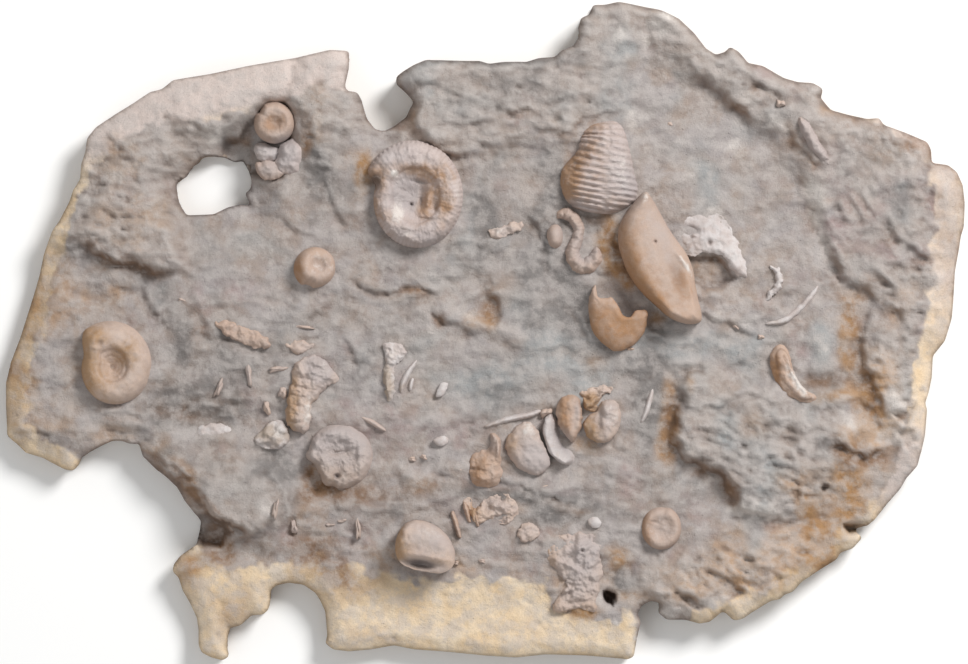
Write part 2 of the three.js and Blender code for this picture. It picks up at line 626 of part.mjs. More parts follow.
// A whole coiled shell on a polar grid: rings from the hub over the crest to the venter.
function coilBody({ at, reach, stretch, growth, mouth, rise, ribs = 0, steps, ...rest }) {
  const { tilt = 0, towards = 0, lift = 0 } = rest;
  const mean = reach * growth ** -0.5;
  const ring = ([share, height, spiral]) =>
    Array.from({ length: steps }, (_, k) => {
      const turn = k / steps;
      const bearing = radians(mouth + 360 * turn);
      const radius = share * (mean + (reach * growth ** -turn - mean) * spiral) * UNIT;
      const rib = share > 0.6 && share < 1 && height > 0 ? 0.35 * Math.cos(TAU * ribs * turn) : 0;
      const fade = 1 - 0.2 * turn * spiral;
      return new THREE.Vector3(
        radius * stretch[0] * Math.cos(bearing),
        -radius * stretch[1] * Math.sin(bearing),
        rise * height * (height > 0 ? fade : 1) + (ribs ? rib : 0),
      );
    });
  const lean = new THREE.Vector3(
    Math.cos(radians(towards) + Math.PI / 2),
    -Math.sin(radians(towards) + Math.PI / 2),
    0,
  );
  const [x, y] = place(at);
  const bed = relief(...at) + lift;
  const settle = (p) => {
    const turned = p.clone().applyAxisAngle(lean, -radians(tilt));
    return [x + turned.x, y + turned.y, bed + turned.z];
  };
  const rings = COIL_SECTION.map((section) => ring(section).map(settle));
  const back = settle(new THREE.Vector3(0, 0, -rise / 2));
  const hub = settle(new THREE.Vector3(0, 0, rise * 0.36));
  return ringBody(rings, back, hub);
}

// A rounded body that climbs from its outline to a crown.
function moundBody({ outline, crown, rise, rim, holes = [] }) {
  const bed = relief(...crown[0].map((c, k) => (c + crown.at(-1)[k]) / 2));
  const onCrown = (p) => {
    if (crown.length === 1) return crown[0];
    return nearestEdge([...crown, ...crown.slice(1, -1).reverse()], ...p).at;
  };
  const ring = (share, z) =>
    outline.map((p) => {
      const top = onCrown(p);
      return [...place([p[0] + (top[0] - p[0]) * share, p[1] + (top[1] - p[1]) * share]), bed + z];
    });
  const rings = [[0, -BURIED], [0, rim]];
  for (const share of [0.22, 0.62]) {
    rings.push([share, rim + (rise - rim) * Math.sqrt(1 - (1 - share) ** 2)]);
  }
  const middle = place(crown[Math.floor(crown.length / 2)]);
  const body = ringBody(
    rings.map(([share, z]) => ring(share, z)),
    [...middle, bed - BURIED],
    [...middle, bed + rise],
  );
  const punch = (hole) => walled(hole, [{ z: 0, grow: 0 }, { z: SKY, grow: 0 }]);
  return holes.reduce((solid, hole) => solid.subtract(punch(hole)), body);
}

// A body carried along a path, riding on the rock, with an oval section.
function strandBody({ path, half, rise, sides, steps, ribs = 0 }) {
  const line = (values) => new THREE.SplineCurve(values);
  const course = line(path.map((p) => new THREE.Vector2(...p)));
  const size = line(half.map((h, k) => new THREE.Vector2(h, rise[k])));
  const station = (t) => {
    const [centre, along, { x: width, y: height }] = [
      course.getPoint(t), course.getTangent(t), size.getPoint(t),
    ];
    const rib = 1 + 0.05 * (ribs ? Math.cos(TAU * ribs * t) : 0);
    const bed = relief(centre.x, centre.y);
    return Array.from({ length: sides }, (_, k) => {
      const angle = (TAU * (k + 0.5)) / sides;
      const across = width * Math.cos(angle) * rib;
      const up = Math.sin(angle) > 0 ? height * rib : BURIED / 2;
      const spot = place([centre.x - along.y * across, centre.y + along.x * across]);
      return [...spot, bed + up * Math.sin(angle)];
    });
  };
  const rings = Array.from({ length: steps + 1 }, (_, k) => station(k / steps));
  const end = (p, height) => [...place(p), relief(...p) + height / 2];
  return ringBody(rings, end(path[0], rise[0]), end(path.at(-1), rise.at(-1)));
}

// ---- the slab and its fossils --------------------------------------------------------------------
const layers = SHELVES.reduce((solid, shelf) => solid.add(layerBlock(shelf)), groundBlock(0));
const edge = walled(OUTLINE, [
  { z: 0, grow: 0 },
  { z: SKY, grow: 0 },
]);
const hole = walled(HOLE, [
  { z: -1, grow: 0 },
  { z: SKY, grow: 0 },
]);
const pits = PITS.map(({ at, radius, bottom }) => {
  const rim = Array.from({ length: 7 }, (_, k) => {
    const reach = radius * (k % 2 ? 1 : 0.75);
    return [at[0] + reach * Math.cos((TAU * k) / 7), at[1] + reach * Math.sin((TAU * k) / 7)];
  });
  return walled(rim, [
    { z: bottom, grow: 0 },
    { z: SKY, grow: 0 },
  ]);
});
const rock = pits.reduce(
  (solid, pit) => solid.subtract(pit),
  edge.subtract(hole).intersect(layers),
);

const seat = rock.translate([0, 0, SEAT_GAP]);
const largest = (solid) =>
  solid.decompose().reduce((best, piece) => (piece.volume() > best.volume() ? piece : best));

const part = new THREE.Group();

function addNode(name, solid, tone) {
  const { vertProperties, numProp, triVerts } = solid.getMesh();
  const geometry = new THREE.BufferGeometry();
  const positions = Array.from(vertProperties).filter((_, k) => k % numProp < 3);
  geometry.setAttribute("position", new THREE.Float32BufferAttribute(positions, 3));
  geometry.setIndex(Array.from(triVerts));
  geometry.computeVertexNormals();
  const material = new THREE.MeshStandardMaterial({
    color: TONES[tone],
    roughness: 0.9,
    metalness: 0,
  });
  const mesh = new THREE.Mesh(geometry, material);
  mesh.name = name;
  part.add(mesh);
}

addNode("matrix_slab", rock, "matrix_grey");
for (const fossil of COILS) addNode(fossil.name, largest(coilBody(fossil).subtract(seat)), fossil.tone);
for (const fossil of MOUNDS) addNode(fossil.name, largest(moundBody(fossil).subtract(seat)), fossil.tone);
for (const fossil of STRANDS) {
  addNode(fossil.name, largest(strandBody(fossil).subtract(seat)), fossil.tone);
}

export default part;
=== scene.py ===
"""A prepared slab of grey marl with ammonites, clams, snails and shell splinters in relief.

Places on the slab are in drawing units, u to the right and v down, as the slab's drawing has them;
heights and depths are in millimetres. Both become metres where a mesh is made.
"""
import json

import bpy
import numpy as np
from mathutils.geometry import delaunay_2d_cdt
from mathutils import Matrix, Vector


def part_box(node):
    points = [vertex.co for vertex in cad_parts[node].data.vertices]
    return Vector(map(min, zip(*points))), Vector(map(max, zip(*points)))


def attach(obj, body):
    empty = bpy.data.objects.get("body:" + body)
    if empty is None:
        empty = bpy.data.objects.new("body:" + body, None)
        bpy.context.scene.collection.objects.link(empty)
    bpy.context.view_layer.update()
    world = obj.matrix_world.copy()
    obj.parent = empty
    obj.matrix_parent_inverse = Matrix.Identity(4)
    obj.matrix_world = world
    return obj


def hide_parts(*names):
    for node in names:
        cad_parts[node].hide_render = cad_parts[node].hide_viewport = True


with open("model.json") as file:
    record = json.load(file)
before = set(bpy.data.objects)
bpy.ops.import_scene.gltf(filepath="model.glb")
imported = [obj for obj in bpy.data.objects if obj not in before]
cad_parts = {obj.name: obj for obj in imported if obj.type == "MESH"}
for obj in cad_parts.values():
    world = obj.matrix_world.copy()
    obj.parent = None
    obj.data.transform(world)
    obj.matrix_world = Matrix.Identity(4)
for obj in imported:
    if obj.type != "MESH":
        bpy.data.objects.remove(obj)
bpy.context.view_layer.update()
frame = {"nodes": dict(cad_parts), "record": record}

# ---- sizes, from the frame ----
SLAB_LOW, SLAB_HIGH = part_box("matrix_slab")
UNITS_ACROSS = 960  # the slab's longest extent in drawing units
UNITS_DOWN = 660
UNIT = (SLAB_HIGH[0] - SLAB_LOW[0]) / UNITS_ACROSS
CENTRE = (485, 332)  # the drawing's centre, over the frame's origin
MM = 0.001

FLOOR = 11.0  # the cleared rock above the underside
PITCH = 2.5  # units between the points of the rock's fine surface
WALL_LEVELS = 10  # rings down the broken edge
UNDERSIDE_PITCH = 14.0
BURIED = 4.0  # how far a fossil's skin goes on below the rock
LUMPINESS = 0.8  # height of the rock's broad lumps
LUMP_SIZE = 46  # units across a lump
LIP_DROP, LIP_WIDTH = 1.2, 4  # the crumbled lip of the edge, in mm and units
WANDER, WANDER_SIZE = 3.0, 18  # how far the ledges wander from their outlines, over what length
SLOPE_WIDTH = 30  # units that a ledge is wider where it isn't sharp
CRUST_BORDER, CRUST_SPREAD = 8, 14  # units from crust to floor, and more where it isn't sharp
RIND_BORDER = 14  # units from the rind to bare rock
RIND_HIDES = 0.85  # share of the crust that the rind hides
STEP_TAPER = 0.2  # share of a small step's line over which each end dies out

# The broken wall goes in from the rim, in units: everywhere, by its bands, by its chunks, and by
# the hollow half way down; never out and never further than the last.
WALL_BACK, WALL_BANDS, WALL_CHUNKS, WALL_HOLLOW, WALL_DEEPEST = 1.5, 1.3, 2.6, 2.4, 5
SCAR_DEPTH = 0.9  # of the shallow scars in the underside
BATCH = 6000  # places that are measured against an outline at a time

# Colours of the rock
ROCK_GREY = 0xA39B98
ROCK_GREY_WARM = 0x9E9087
CRUST_GREY = 0xA3978F
COOL_GREY = 0x9A9A99
WARM_TAN = 0xB69A82
PLUM = 0x9C8986
RIND_TAN = 0xDDC29E
RIND_PALE = 0xE4D2B9
RIND_PINK = 0xCBBCB4
OCHRE = 0xA5805A
# Brown of stains, also used for painted shade
UMBER_STAIN_AND_SHADE = 0x7E6048
# Pale of chalky bloom, also used for painted light
CHALK_AND_LIGHT_PALE = 0xD6CEC7
# Dark grey of painted shade
SHADE_GREY = 0x7E7976
VEIL = 0xB9AAA4  # thin rock left on the shells
VEIL_GREY = 0xA9A1A0
# Dark brown in the hollows: dirt and painted shade
HOLLOW_DIRT_AND_SHADE = 0x5A4C44
CREST_PALE = 0xC0B9B4
DUST = 0xB9B1AC
WALL_BROWN = 0xAB967F

# Shells: pale tone, tone of stains and painted shade, groove, and the share of rock still on them.
SHELL_TONES = {
    "shell_grey": (0xC0B1AB, 0xA8866A, 0x8A7668, 0.3),
    "shell_cream": (0xC3AD9E, 0xA98868, 0x8A6E5A, 0.25),
    "shell_tan": (0xB89E8C, 0xA47E5E, 0x7C604C, 0.12),
    "shell_white": (0xCBC4C1, 0xAA9A8B, 0x8A7B6E, 0.3),
}

# The studio: view in drawing units, lens in mm, floor in metres, and its light.
VIEW = (968, 664)
LENS, SENSOR = 250, 36
FLOOR_HALF = 1.2
FLOOR_WHITE = 0xFBFAF8
SKY_BLUE = (0.96, 0.98, 1.0, 1)
SKY_LIGHT = 0.42
# Lamps: name, place in metres, diameter in metres, power in watts.
LAMPS = [
    ("key_lamp", (0.7, 0.74, 0.95), 0.5, 19),
    ("fill_lamp", (-0.8, -0.7, 1.2), 1.2, 4),
]


# ---- noise ----
def smooth(x):
    """A soft step: 0 below 0, 1 above 1, and 3x^2 - 2x^3 between."""
    x = np.clip(x, 0, 1)
    return x * x * (3 - 2 * x)


def scatter(i, j, seed):
    """A random number from 0 to 1 at each whole place: the fraction of a large sine."""
    big = np.sin(i * 127.1 + j * 311.7 + seed * 74.7) * 43758.5453
    return big - np.floor(big)


def noise(u, v, size, seed):
    """Gradient noise from -1 to 1: each lattice corner has a random slope, blended smoothly."""
    x, y = u / size, v / size
    i, j = np.floor(x), np.floor(y)
    s, t = x - i, y - j
    total = 0
    for di in (0, 1):
        for dj in (0, 1):
            angle = 2 * np.pi * scatter(i + di, j + dj, seed)
            slope = np.cos(angle) * (s - di) + np.sin(angle) * (t - dj)
            total = total + slope * smooth(1 - np.abs(s - di)) * smooth(1 - np.abs(t - dj))
    return 1.5 * total


def turned(u, v, degrees, stretch):
    """Places turned by an angle, with lengths along the turned first axis pressed by stretch."""
    c, s = np.cos(np.radians(degrees)), np.sin(np.radians(degrees))
    return (u * c + v * s) / stretch, v * c - u * s


def layers(u, v, size, octaves, seed):
    """Noise summed over octaves, each half the size and half the height of the last."""
    return sum(0.5 ** k * noise(u, v, size / 2 ** k, seed + 17 * k) for k in range(octaves))


def crags(u, v, size, octaves, seed):
    """Sharp crests: one less twice the noise without its sign, summed over octaves and halved."""
    waves = (noise(u, v, size / 2 ** k, seed + 17 * k) for k in range(octaves))
    return sum(0.5 ** k * (1 - 2 * np.abs(wave)) for k, wave in enumerate(waves)) / 2


def furrows(u, v, degrees, stretch, sizes, seeds):
    """Strokes along a bearing: fine crags less broader ones, both drawn out."""
    a, b = turned(u, v, degrees, stretch)
    return crags(a, b, sizes[0], 3, seeds[0]) - crags(a, b, sizes[1], 2, seeds[1])


def pocks(u, v, size, share, radius, seed):
    """Scattered round pits: one in each lattice cell that a draw picks, 1 at its middle, 0 outside."""
    i, j = np.floor(u / size), np.floor(v / size)
    deepest = np.zeros_like(u)
    for di in (-1, 0, 1):
        for dj in (-1, 0, 1):
            a, b = i + di, j + dj
            pit_u = (a + 0.2 + 0.6 * scatter(a, b, seed + 1)) * size
            pit_v = (b + 0.2 + 0.6 * scatter(a, b, seed + 2)) * size
            reach = radius * (0.5 + scatter(a, b, seed + 3))
            depth = 1 - smooth(np.hypot(u - pit_u, v - pit_v) / reach)
            deepest = np.maximum(deepest, depth * (scatter(a, b, seed) < share))
    return deepest


# ---- outlines ----
def side_distance(starts, ends, u, v):
    """Distance of places from a closed outline of straight sides, positive inside, with the
    nearest place on it. A place is inside where a line from it crosses an odd number of sides."""
    shape = u.shape
    u, v = u.ravel(), v.ravel()
    side = ends - starts
    length2 = (side ** 2).sum(axis=1)
    distance, near = np.empty(u.size), np.empty((u.size, 2))
    for low in range(0, u.size, BATCH):
        part = slice(low, low + BATCH)
        du = u[part, None] - starts[None, :, 0]
        dv = v[part, None] - starts[None, :, 1]
        along = np.clip((du * side[:, 0] + dv * side[:, 1]) / length2, 0, 1)
        away = np.hypot(du - along * side[:, 0], dv - along * side[:, 1])
        best = away.argmin(axis=1)
        rows = np.arange(best.size)
        near[part] = starts[best] + along[rows, best, None] * side[best]
        spans = (dv >= 0) != (v[part, None] >= ends[None, :, 1])
        run = np.where(side[:, 1] == 0, 1, side[:, 1])
        crosses = spans & (du < dv * side[:, 0] / run)
        inside = crosses.sum(axis=1) % 2 == 1
        distance[part] = np.where(inside, 1, -1) * away[rows, best]
    return distance.reshape(shape), near.reshape(shape + (2,))


def outline_distance(points, u, v):
    """Distance of places from an outline given by its points, positive inside."""
    points = np.asarray(points, float)
    return side_distance(points, np.roll(points, -1, axis=0), u, v)[0]


def slab_sides():
    """The straight sides of the CAD slab's underside, hole included, in drawing units: the edges
    that only one of its downward triangles has."""
    mesh = frame["nodes"]["matrix_slab"].data
    mesh.calc_loop_triangles()
    corners = np.empty(len(mesh.vertices) * 3)
    mesh.vertices.foreach_get("co", corners)
    corners = corners.reshape(-1, 3)
    triangles = np.empty(len(mesh.loop_triangles) * 3, int)
    mesh.loop_triangles.foreach_get("vertices", triangles)
    triangles = triangles.reshape(-1, 3)
    triangles = triangles[(corners[triangles][:, :, 2] < 1e-5).all(axis=1)]
    plan, ids = np.unique(np.round(corners[:, :2], 6), axis=0, return_inverse=True)
    triangles = ids.reshape(-1)[triangles]
    edges = np.concatenate([triangles[:, [0, 1]], triangles[:, [1, 2]], triangles[:, [2, 0]]])
    keys, counts = np.unique(np.sort(edges, axis=1), axis=0, return_counts=True)
    rim = plan[keys[counts == 1]]
    drawn = np.stack([rim[..., 0] / UNIT + CENTRE[0], CENTRE[1] - rim[..., 1] / UNIT], axis=-1)
    return drawn[:, 0], drawn[:, 1]


SIDE_STARTS, SIDE_ENDS = slab_sides()


def edge_distance(u, v):
    """Distance of places from the slab's edge or its hole, positive in the rock."""
    return side_distance(SIDE_STARTS, SIDE_ENDS, u, v)


# ---- the lie of the rock ----
# Layers left standing on the cleared floor: rise in mm, width of the ledge in units, outline.
SHELVES = {
    "north_west": (5, 7, [(-40, 330), (45, 250), (75, 240), (95, 250), (115, 262), (140, 265), (165, 272),
        (182, 266), (178, 240), (176, 215), (178, 180), (196, 160), (215, 150), (235, 138), (252, 120),
        (268, 103), (290, 92), (300, 70), (310, 20), (-40, -20)]),
    "notch_ridge": (4.5, 7, [(285, 90), (297, 120), (305, 145), (318, 170), (330, 172), (336, 152),
        (346, 140), (368, 126), (360, 98), (350, 20), (295, 20)]),
    "north": (3.5, 9, [(390, 60), (414, 105), (412, 120), (425, 140), (440, 152), (463, 158), (478, 153),
        (505, 140), (530, 135), (560, 138), (575, 128), (592, 108), (618, 88), (634, 60), (640, 20),
        (660, -20), (380, -20)]),
    "east": (4, 13, [(648, 10), (664, 48), (690, 71), (711, 84), (727, 98), (740, 112), (754, 124),
        (772, 132), (788, 152), (804, 179), (816, 212), (832, 256), (850, 282), (868, 290), (882, 302),
        (886, 316), (872, 342), (864, 366), (876, 392), (890, 420), (905, 450), (1000, 470), (1000, 60),
        (720, -20)]),
    "south_east": (4.4, 12, [(693, 375), (681, 386), (686, 402), (679, 414), (677, 430), (675, 443),
        (685, 457), (703, 463), (714, 466), (726, 475), (732, 490), (739, 507), (756, 514), (780, 512),
        (812, 500), (838, 480), (852, 455), (846, 428), (836, 404), (812, 408), (775, 396), (750, 388),
        (722, 384), (706, 372)]),
    "south_west": (5.6, 4, [(192, 484), (206, 502), (215, 516), (234, 524), (251, 534), (263, 529),
        (279, 521), (284, 498), (272, 474), (246, 462), (214, 466)]),
    "south": (2, 8, [(640, 562), (642, 584), (656, 598), (672, 640), (740, 640), (830, 580), (810, 545),
        (760, 548), (700, 556)]),
}

# Sharp-edged hollows: depth in mm, width of the edge in units, outline.
HOLLOWS = {
    "niche": (4.2, 12, [(218, 138), (236, 126), (250, 112), (262, 103), (280, 100), (288, 108),
        (291, 124), (292, 150), (288, 168), (280, 178), (262, 178), (248, 172), (244, 164), (232, 162),
        (220, 156)]),
    "under_lace": (3.2, 7, [(688, 257), (700, 257), (716, 256), (727, 266), (736, 278), (722, 288),
        (704, 292), (694, 282)]),
    "beside_broken_clam": (1.5, 12, [(600, 274), (616, 262), (632, 262), (654, 292), (676, 318),
        (664, 332), (650, 330), (640, 316), (629, 322), (616, 312), (598, 294)]),
    "shell_mould": (2.2, 10, [(719, 412), (722, 402), (736, 395), (752, 392), (758, 398), (745, 404),
        (736, 412), (728, 418)]),
    "west_slot": (6, 9, [(190, 516), (208, 512), (222, 520), (230, 532), (220, 546), (200, 546)]),
    "east_slot": (5, 4, [(846, 526), (874, 523), (868, 531), (850, 535)]),
    "cavity_north": (2.2, 6, [(890, 412), (902, 413), (914, 405), (912, 415), (904, 424), (898, 419)]),
    "cavity_south": (1.8, 6, [(897, 431), (911, 428), (914, 440), (907, 448), (902, 439)]),
    "star_pit": (3, 3, [(819, 486), (824, 483), (829, 486), (826, 490), (821, 490)]),
    "small_pit": (2, 4, [(790, 492), (796, 489), (800, 495), (795, 501)]),
    "drain": (9, 3, [(602, 593), (608, 591), (617, 596), (613, 605), (606, 603)]),
}

# A patch is a row: its place (u, v), its two radii in units, its strength and, where it is turned,
# the degrees clockwise. Rounded hollows (negative) and swells (positive), with strengths in mm:
SWELLS = [
    (595, 226, 18, 12, -3.2), (718, 490, 22, 22, -2.4), (212, 424, 32, 18, -2.2),
    (484, 326, 22, 7, 1.8, 15), (420, 292, 30, 6, 1.4, -10), (740, 150, 60, 70, -1.5),
    (100, 300, 40, 26, -1.8), (315, 470, 20, 34, -2.5), (856, 426, 22, 14, 2.4, 20),
    (600, 578, 24, 20, -1.5), (450, 620, 150, 40, -2), (215, 600, 40, 60, -2),
    (560, 470, 80, 30, -1.2, 20), (823, 345, 13, 24, 2.2), (842, 398, 18, 10, 1.6, 10),
    (712, 500, 22, 24, -1), (856, 395, 10, 40, -1), (222, 556, 12, 16, -1.6, -20),
    (430, 478, 70, 10, 1.2, 8), (565, 508, 45, 6, 1.2, 18), (250, 490, 30, 30, 0.8),
    (120, 420, 50, 8, 1.2, 10), (300, 505, 18, 12, 1.4), (660, 290, 60, 40, -0.8),
    (910, 470, 12, 20, 1.2, -10), (612, 250, 10, 34, 1.6, -25), (232, 142, 12, 10, -1.5),
    (246, 552, 26, 12, -2.2, 10), (690, 345, 26, 22, -0.8), (730, 366, 30, 24, -0.6),
    (365, 350, 8, 12, -0.8), (162, 290, 8, 14, -1), (845, 350, 8, 30, 1.2), (478, 398, 30, 14, -0.7),
    (572, 312, 18, 24, -1.6), (655, 365, 12, 30, -1.2), (320, 556, 40, 18, -1, 15),
    (165, 410, 40, 10, -0.8), (316, 120, 12, 26, 1.2, 8), (360, 190, 10, 26, 1.2, 12),
    (306, 100, 16, 8, 0.8),
]

# Where the ledges of the layers are sharp; elsewhere they slope.
SHARP_STRETCHES = [
    (874, 350, 20, 66, 0.6), (125, 258, 72, 26, 1, 12), (240, 128, 44, 30, 1, -35),
    (455, 152, 60, 14, 0.9, -5), (724, 98, 62, 22, 1, 38), (848, 276, 42, 16, 0.9, 40),
    (682, 420, 40, 84, 1), (724, 482, 50, 44, 1, 30), (862, 446, 44, 16, 1, 5), (228, 518, 50, 18, 1, 25),
    (330, 150, 16, 30, 0.5), (420, 120, 16, 30, 0.8, -20), (640, 590, 20, 30, 0.6),
    (812, 215, 30, 64, 0.8, -15), (560, 132, 40, 10, 0.6, 10),
]

# Smooth stretches of the rock; the strength is the share of the relief lost.
CALM_STRETCHES = [
    (480, 330, 90, 60, 0.2), (870, 220, 70, 80, 0.15), (220, 85, 120, 26, 0.3, -14),
    (710, 500, 24, 24, 0.85), (738, 405, 22, 12, 0.7, -15), (245, 495, 30, 30, 0.4),
    (250, 556, 24, 14, 0.7), (720, 150, 70, 90, 0.55, -20), (230, 250, 46, 50, 0.3),
    (605, 40, 60, 40, 0.3), (570, 330, 90, 30, 0.2), (490, 190, 50, 40, 0.25), (250, 500, 40, 40, 0.3),
    (823, 345, 16, 30, 0.9), (850, 200, 60, 60, 0.3), (450, 90, 80, 30, 0.25), (235, 145, 16, 16, 0.8),
    (860, 428, 30, 20, 0.6), (360, 185, 14, 30, 0.6), (700, 350, 40, 30, 0.3), (300, 225, 60, 30, 0.2),
]

# Small steps in the rock, low on the right hand of each line: rise in mm, width of the step, how
# far behind it the rise dies away, both in units, and the line.
SCARPS = [
    (2.6, 5, 14, [(830, 438), (842, 444), (854, 452), (866, 457), (884, 446)]),
    (1.4, 9, 14, [(804, 366), (812, 373), (824, 375), (836, 371), (844, 364)]),
    (1.6, 6, 12, [(878, 300), (868, 320), (862, 346), (868, 372), (880, 396), (886, 424)]),
    (1.4, 4, 10, [(246, 536), (232, 528), (214, 518), (200, 508)]),
    (1.6, 4, 26, [(349, 273), (361, 285), (376, 292), (392, 292), (402, 288), (421, 286), (433, 292),
        (446, 301)]),
    (1.4, 4, 16, [(430, 309), (440, 316), (447, 326)]),
    (1.2, 7, 16, [(437, 304), (450, 320), (466, 330), (484, 334)]),
    (1.7, 9, 26, [(480, 284), (497, 300), (502, 316), (490, 334)]),
    (1.3, 4, 12, [(700, 310), (716, 320), (728, 321), (742, 330), (760, 336)]),
    (1.2, 4, 12, [(676, 380), (684, 370), (698, 366), (710, 372)]),
    (1.2, 4, 30, [(470, 482), (496, 480), (520, 484), (540, 494), (561, 501), (578, 506), (597, 509)]),
    (0.9, 4, 24, [(430, 472), (446, 474), (458, 478), (472, 482)]),
    (1.1, 4, 18, [(92, 417), (110, 413), (125, 412), (138, 416), (152, 421)]),
    (1, 4, 20, [(8, 431), (22, 430), (40, 431), (58, 438)]),
    (1.3, 5, 16, [(143, 284), (148, 300), (152, 311), (160, 318)]),
    (1.5, 10, 20, [(183, 288), (197, 303), (208, 325), (212, 345)]),
    (1, 4, 12, [(243, 434), (238, 420), (228, 407), (210, 402), (190, 404), (180, 416)]),
    (1.3, 5, 14, [(104, 130), (118, 143), (128, 150), (141, 157)]),
    (1, 4, 14, [(158, 118), (176, 116), (196, 122), (210, 132)]),
    (1.2, 4, 18, [(492, 106), (514, 113), (540, 104), (566, 99)]),
    (1.3, 4, 14, [(526, 126), (548, 130), (567, 131), (585, 118), (608, 111), (632, 111)]),
    (1, 4, 20, [(404, 84), (430, 82), (452, 92), (470, 104)]),
    (0.8, 4, 14, [(440, 122), (462, 124), (500, 122)]),
    (1.8, 6, 16, [(748, 80), (762, 84), (775, 92), (784, 101)]),
    (1, 5, 18, [(692, 44), (712, 62), (740, 72), (764, 90)]),
    (1.2, 5, 16, [(786, 120), (796, 140), (812, 160), (828, 176)]),
    (1, 4, 10, [(834, 198), (842, 212), (848, 226)]),
    (1, 4, 10, [(846, 194), (856, 210), (864, 228)]),
    (0.9, 4, 10, [(858, 188), (868, 206), (880, 222)]),
    (1.4, 6, 20, [(880, 212), (896, 236), (918, 252), (934, 262)]),
    (1.2, 6, 18, [(862, 262), (884, 276), (900, 300), (906, 330)]),
    (1.4, 5, 20, [(671, 587), (684, 594), (698, 601), (716, 604)]),
    (1.2, 5, 22, [(720, 545), (744, 556), (770, 568), (788, 584)]),
    (1, 5, 18, [(756, 516), (784, 520), (812, 516), (840, 510)]),
    (1.3, 5, 20, [(706, 566), (730, 580), (750, 596)]),
    (1.2, 5, 12, [(141, 447), (160, 458), (182, 470), (200, 484)]),
    (1, 4, 10, [(150, 460), (170, 474), (190, 492)]),
    (1, 4, 10, [(268, 470), (282, 490), (286, 510), (280, 524)]),
    (0.9, 3, 10, [(291, 512), (296, 524), (298, 538)]),
    (0.9, 4, 14, [(300, 536), (330, 532), (352, 538), (372, 548)]),
    (0.8, 4, 16, [(556, 300), (570, 306), (580, 318), (596, 352)]),
    (1, 5, 20, [(500, 340), (530, 350), (560, 346), (590, 352)]),
    (0.9, 4, 16, [(640, 330), (664, 342), (690, 346), (712, 336)]),
    (1, 5, 16, [(660, 372), (676, 366), (700, 362), (716, 372)]),
    (0.9, 4, 16, [(340, 330), (352, 348), (360, 366), (352, 388)]),
    (0.9, 4, 14, [(520, 214), (538, 226), (548, 250), (552, 280)]),
    (0.8, 4, 14, [(238, 290), (262, 296), (286, 300), (300, 312)]),
    (0.9, 5, 18, [(250, 210), (280, 216), (300, 232), (326, 240)]),
    (1, 5, 16, [(318, 172), (330, 190), (338, 214), (352, 232)]),
    (0.9, 4, 14, [(836, 404), (858, 398), (872, 408), (884, 436)]),
]

# Wear of the edge on each bearing from +X: width in units and drop in mm.
WEAR_BEARINGS = [-180, -150, -120, -90, -60, -35, -10, 12, 30, 60, 100, 125, 150, 168, 180]
WEAR_WIDTHS = [24, 16, 16, 14, 12, 12, 26, 28, 16, 8, 8, 26, 40, 30, 24]
WEAR_DROPS = [2.8, 2, 2, 1.8, 1.8, 2, 3, 3.5, 3, 1.5, 1.5, 3.5, 5, 4, 2.8]

# Weathered rind of the slab, smooth and tan: outlines.
RINDS = {
    "north_west_bevel": [(70, 170), (84, 130), (150, 80), (250, 55), (356, 40), (352, 92), (318, 86),
        (268, 100), (235, 114), (180, 118), (132, 132), (100, 156)],
    "west_rim": [(92, 165), (76, 204), (62, 244), (50, 284), (40, 322), (30, 352), (28, 400), (36, 438),
        (66, 450), (84, 470), (-20, 480), (-20, 320), (30, 210), (64, 150)],
    "south_rim": [(160, 560), (196, 546), (216, 562), (240, 572), (290, 562), (330, 562), (380, 576),
        (440, 582), (500, 578), (545, 584), (560, 614), (600, 620), (632, 612), (650, 680), (180, 680)],
    "east_rim": [(860, 107), (898, 135), (924, 158), (932, 190), (935, 240), (930, 300), (918, 344),
        (909, 390), (904, 430), (896, 466), (930, 480), (990, 400), (990, 120)],
    "south_east_rim": [(900, 470), (880, 496), (858, 514), (832, 540), (800, 562), (764, 586), (730, 600),
        (694, 610), (690, 640), (870, 620), (940, 500)],
}


def wear(u, v):
    """Width and drop of the worn edge at places, read off by their bearing from the centre."""
    bearing = np.degrees(np.arctan2(CENTRE[1] - v, u - CENTRE[0]))
    return (np.interp(bearing, WEAR_BEARINGS, WEAR_WIDTHS),
            np.interp(bearing, WEAR_BEARINGS, WEAR_DROPS))


def region(points, u, v, soft):
    """1 well inside an outline and 0 well outside, through a border of the width soft."""
    return smooth(0.5 + outline_distance(points, u, v) / soft)


def patches(table, u, v):
    """Summed bells, each strength * exp(-(distance over its radii)^2)."""
    total = np.zeros_like(u)
    for at_u, at_v, reach_u, reach_v, strength, *turn in table:
        a, b = turned(u - at_u, v - at_v, sum(turn), 1)
        total = total + strength * np.exp(-(a / reach_u) ** 2 - (b / reach_v) ** 2)
    return total


def beside(points, u, v):
    """How far places are from an open line, positive on its left hand, and how far along it the
    nearest place on it lies, from 0 to 1."""
    points = np.asarray(points, float)
    lengths = np.hypot(*(points[1:] - points[:-1]).T)
    before = np.concatenate([[0], np.cumsum(lengths)])
    best, side, share = np.full(u.shape, np.inf), np.ones(u.shape), np.zeros(u.shape)
    for (a, b), (c, d), length, start in zip(points[:-1], points[1:], lengths, before):
        du, dv = u - a, v - b
        along = np.clip((du * (c - a) + dv * (d - b)) / length ** 2, 0, 1)
        away = np.hypot(du - along * (c - a), dv - along * (d - b))
        closer = away < best
        best = np.where(closer, away, best)
        side = np.where(closer, np.sign(dv * (c - a) - du * (d - b)), side)
        share = np.where(closer, (start + along * length) / before[-1], share)
    return -side * best, share


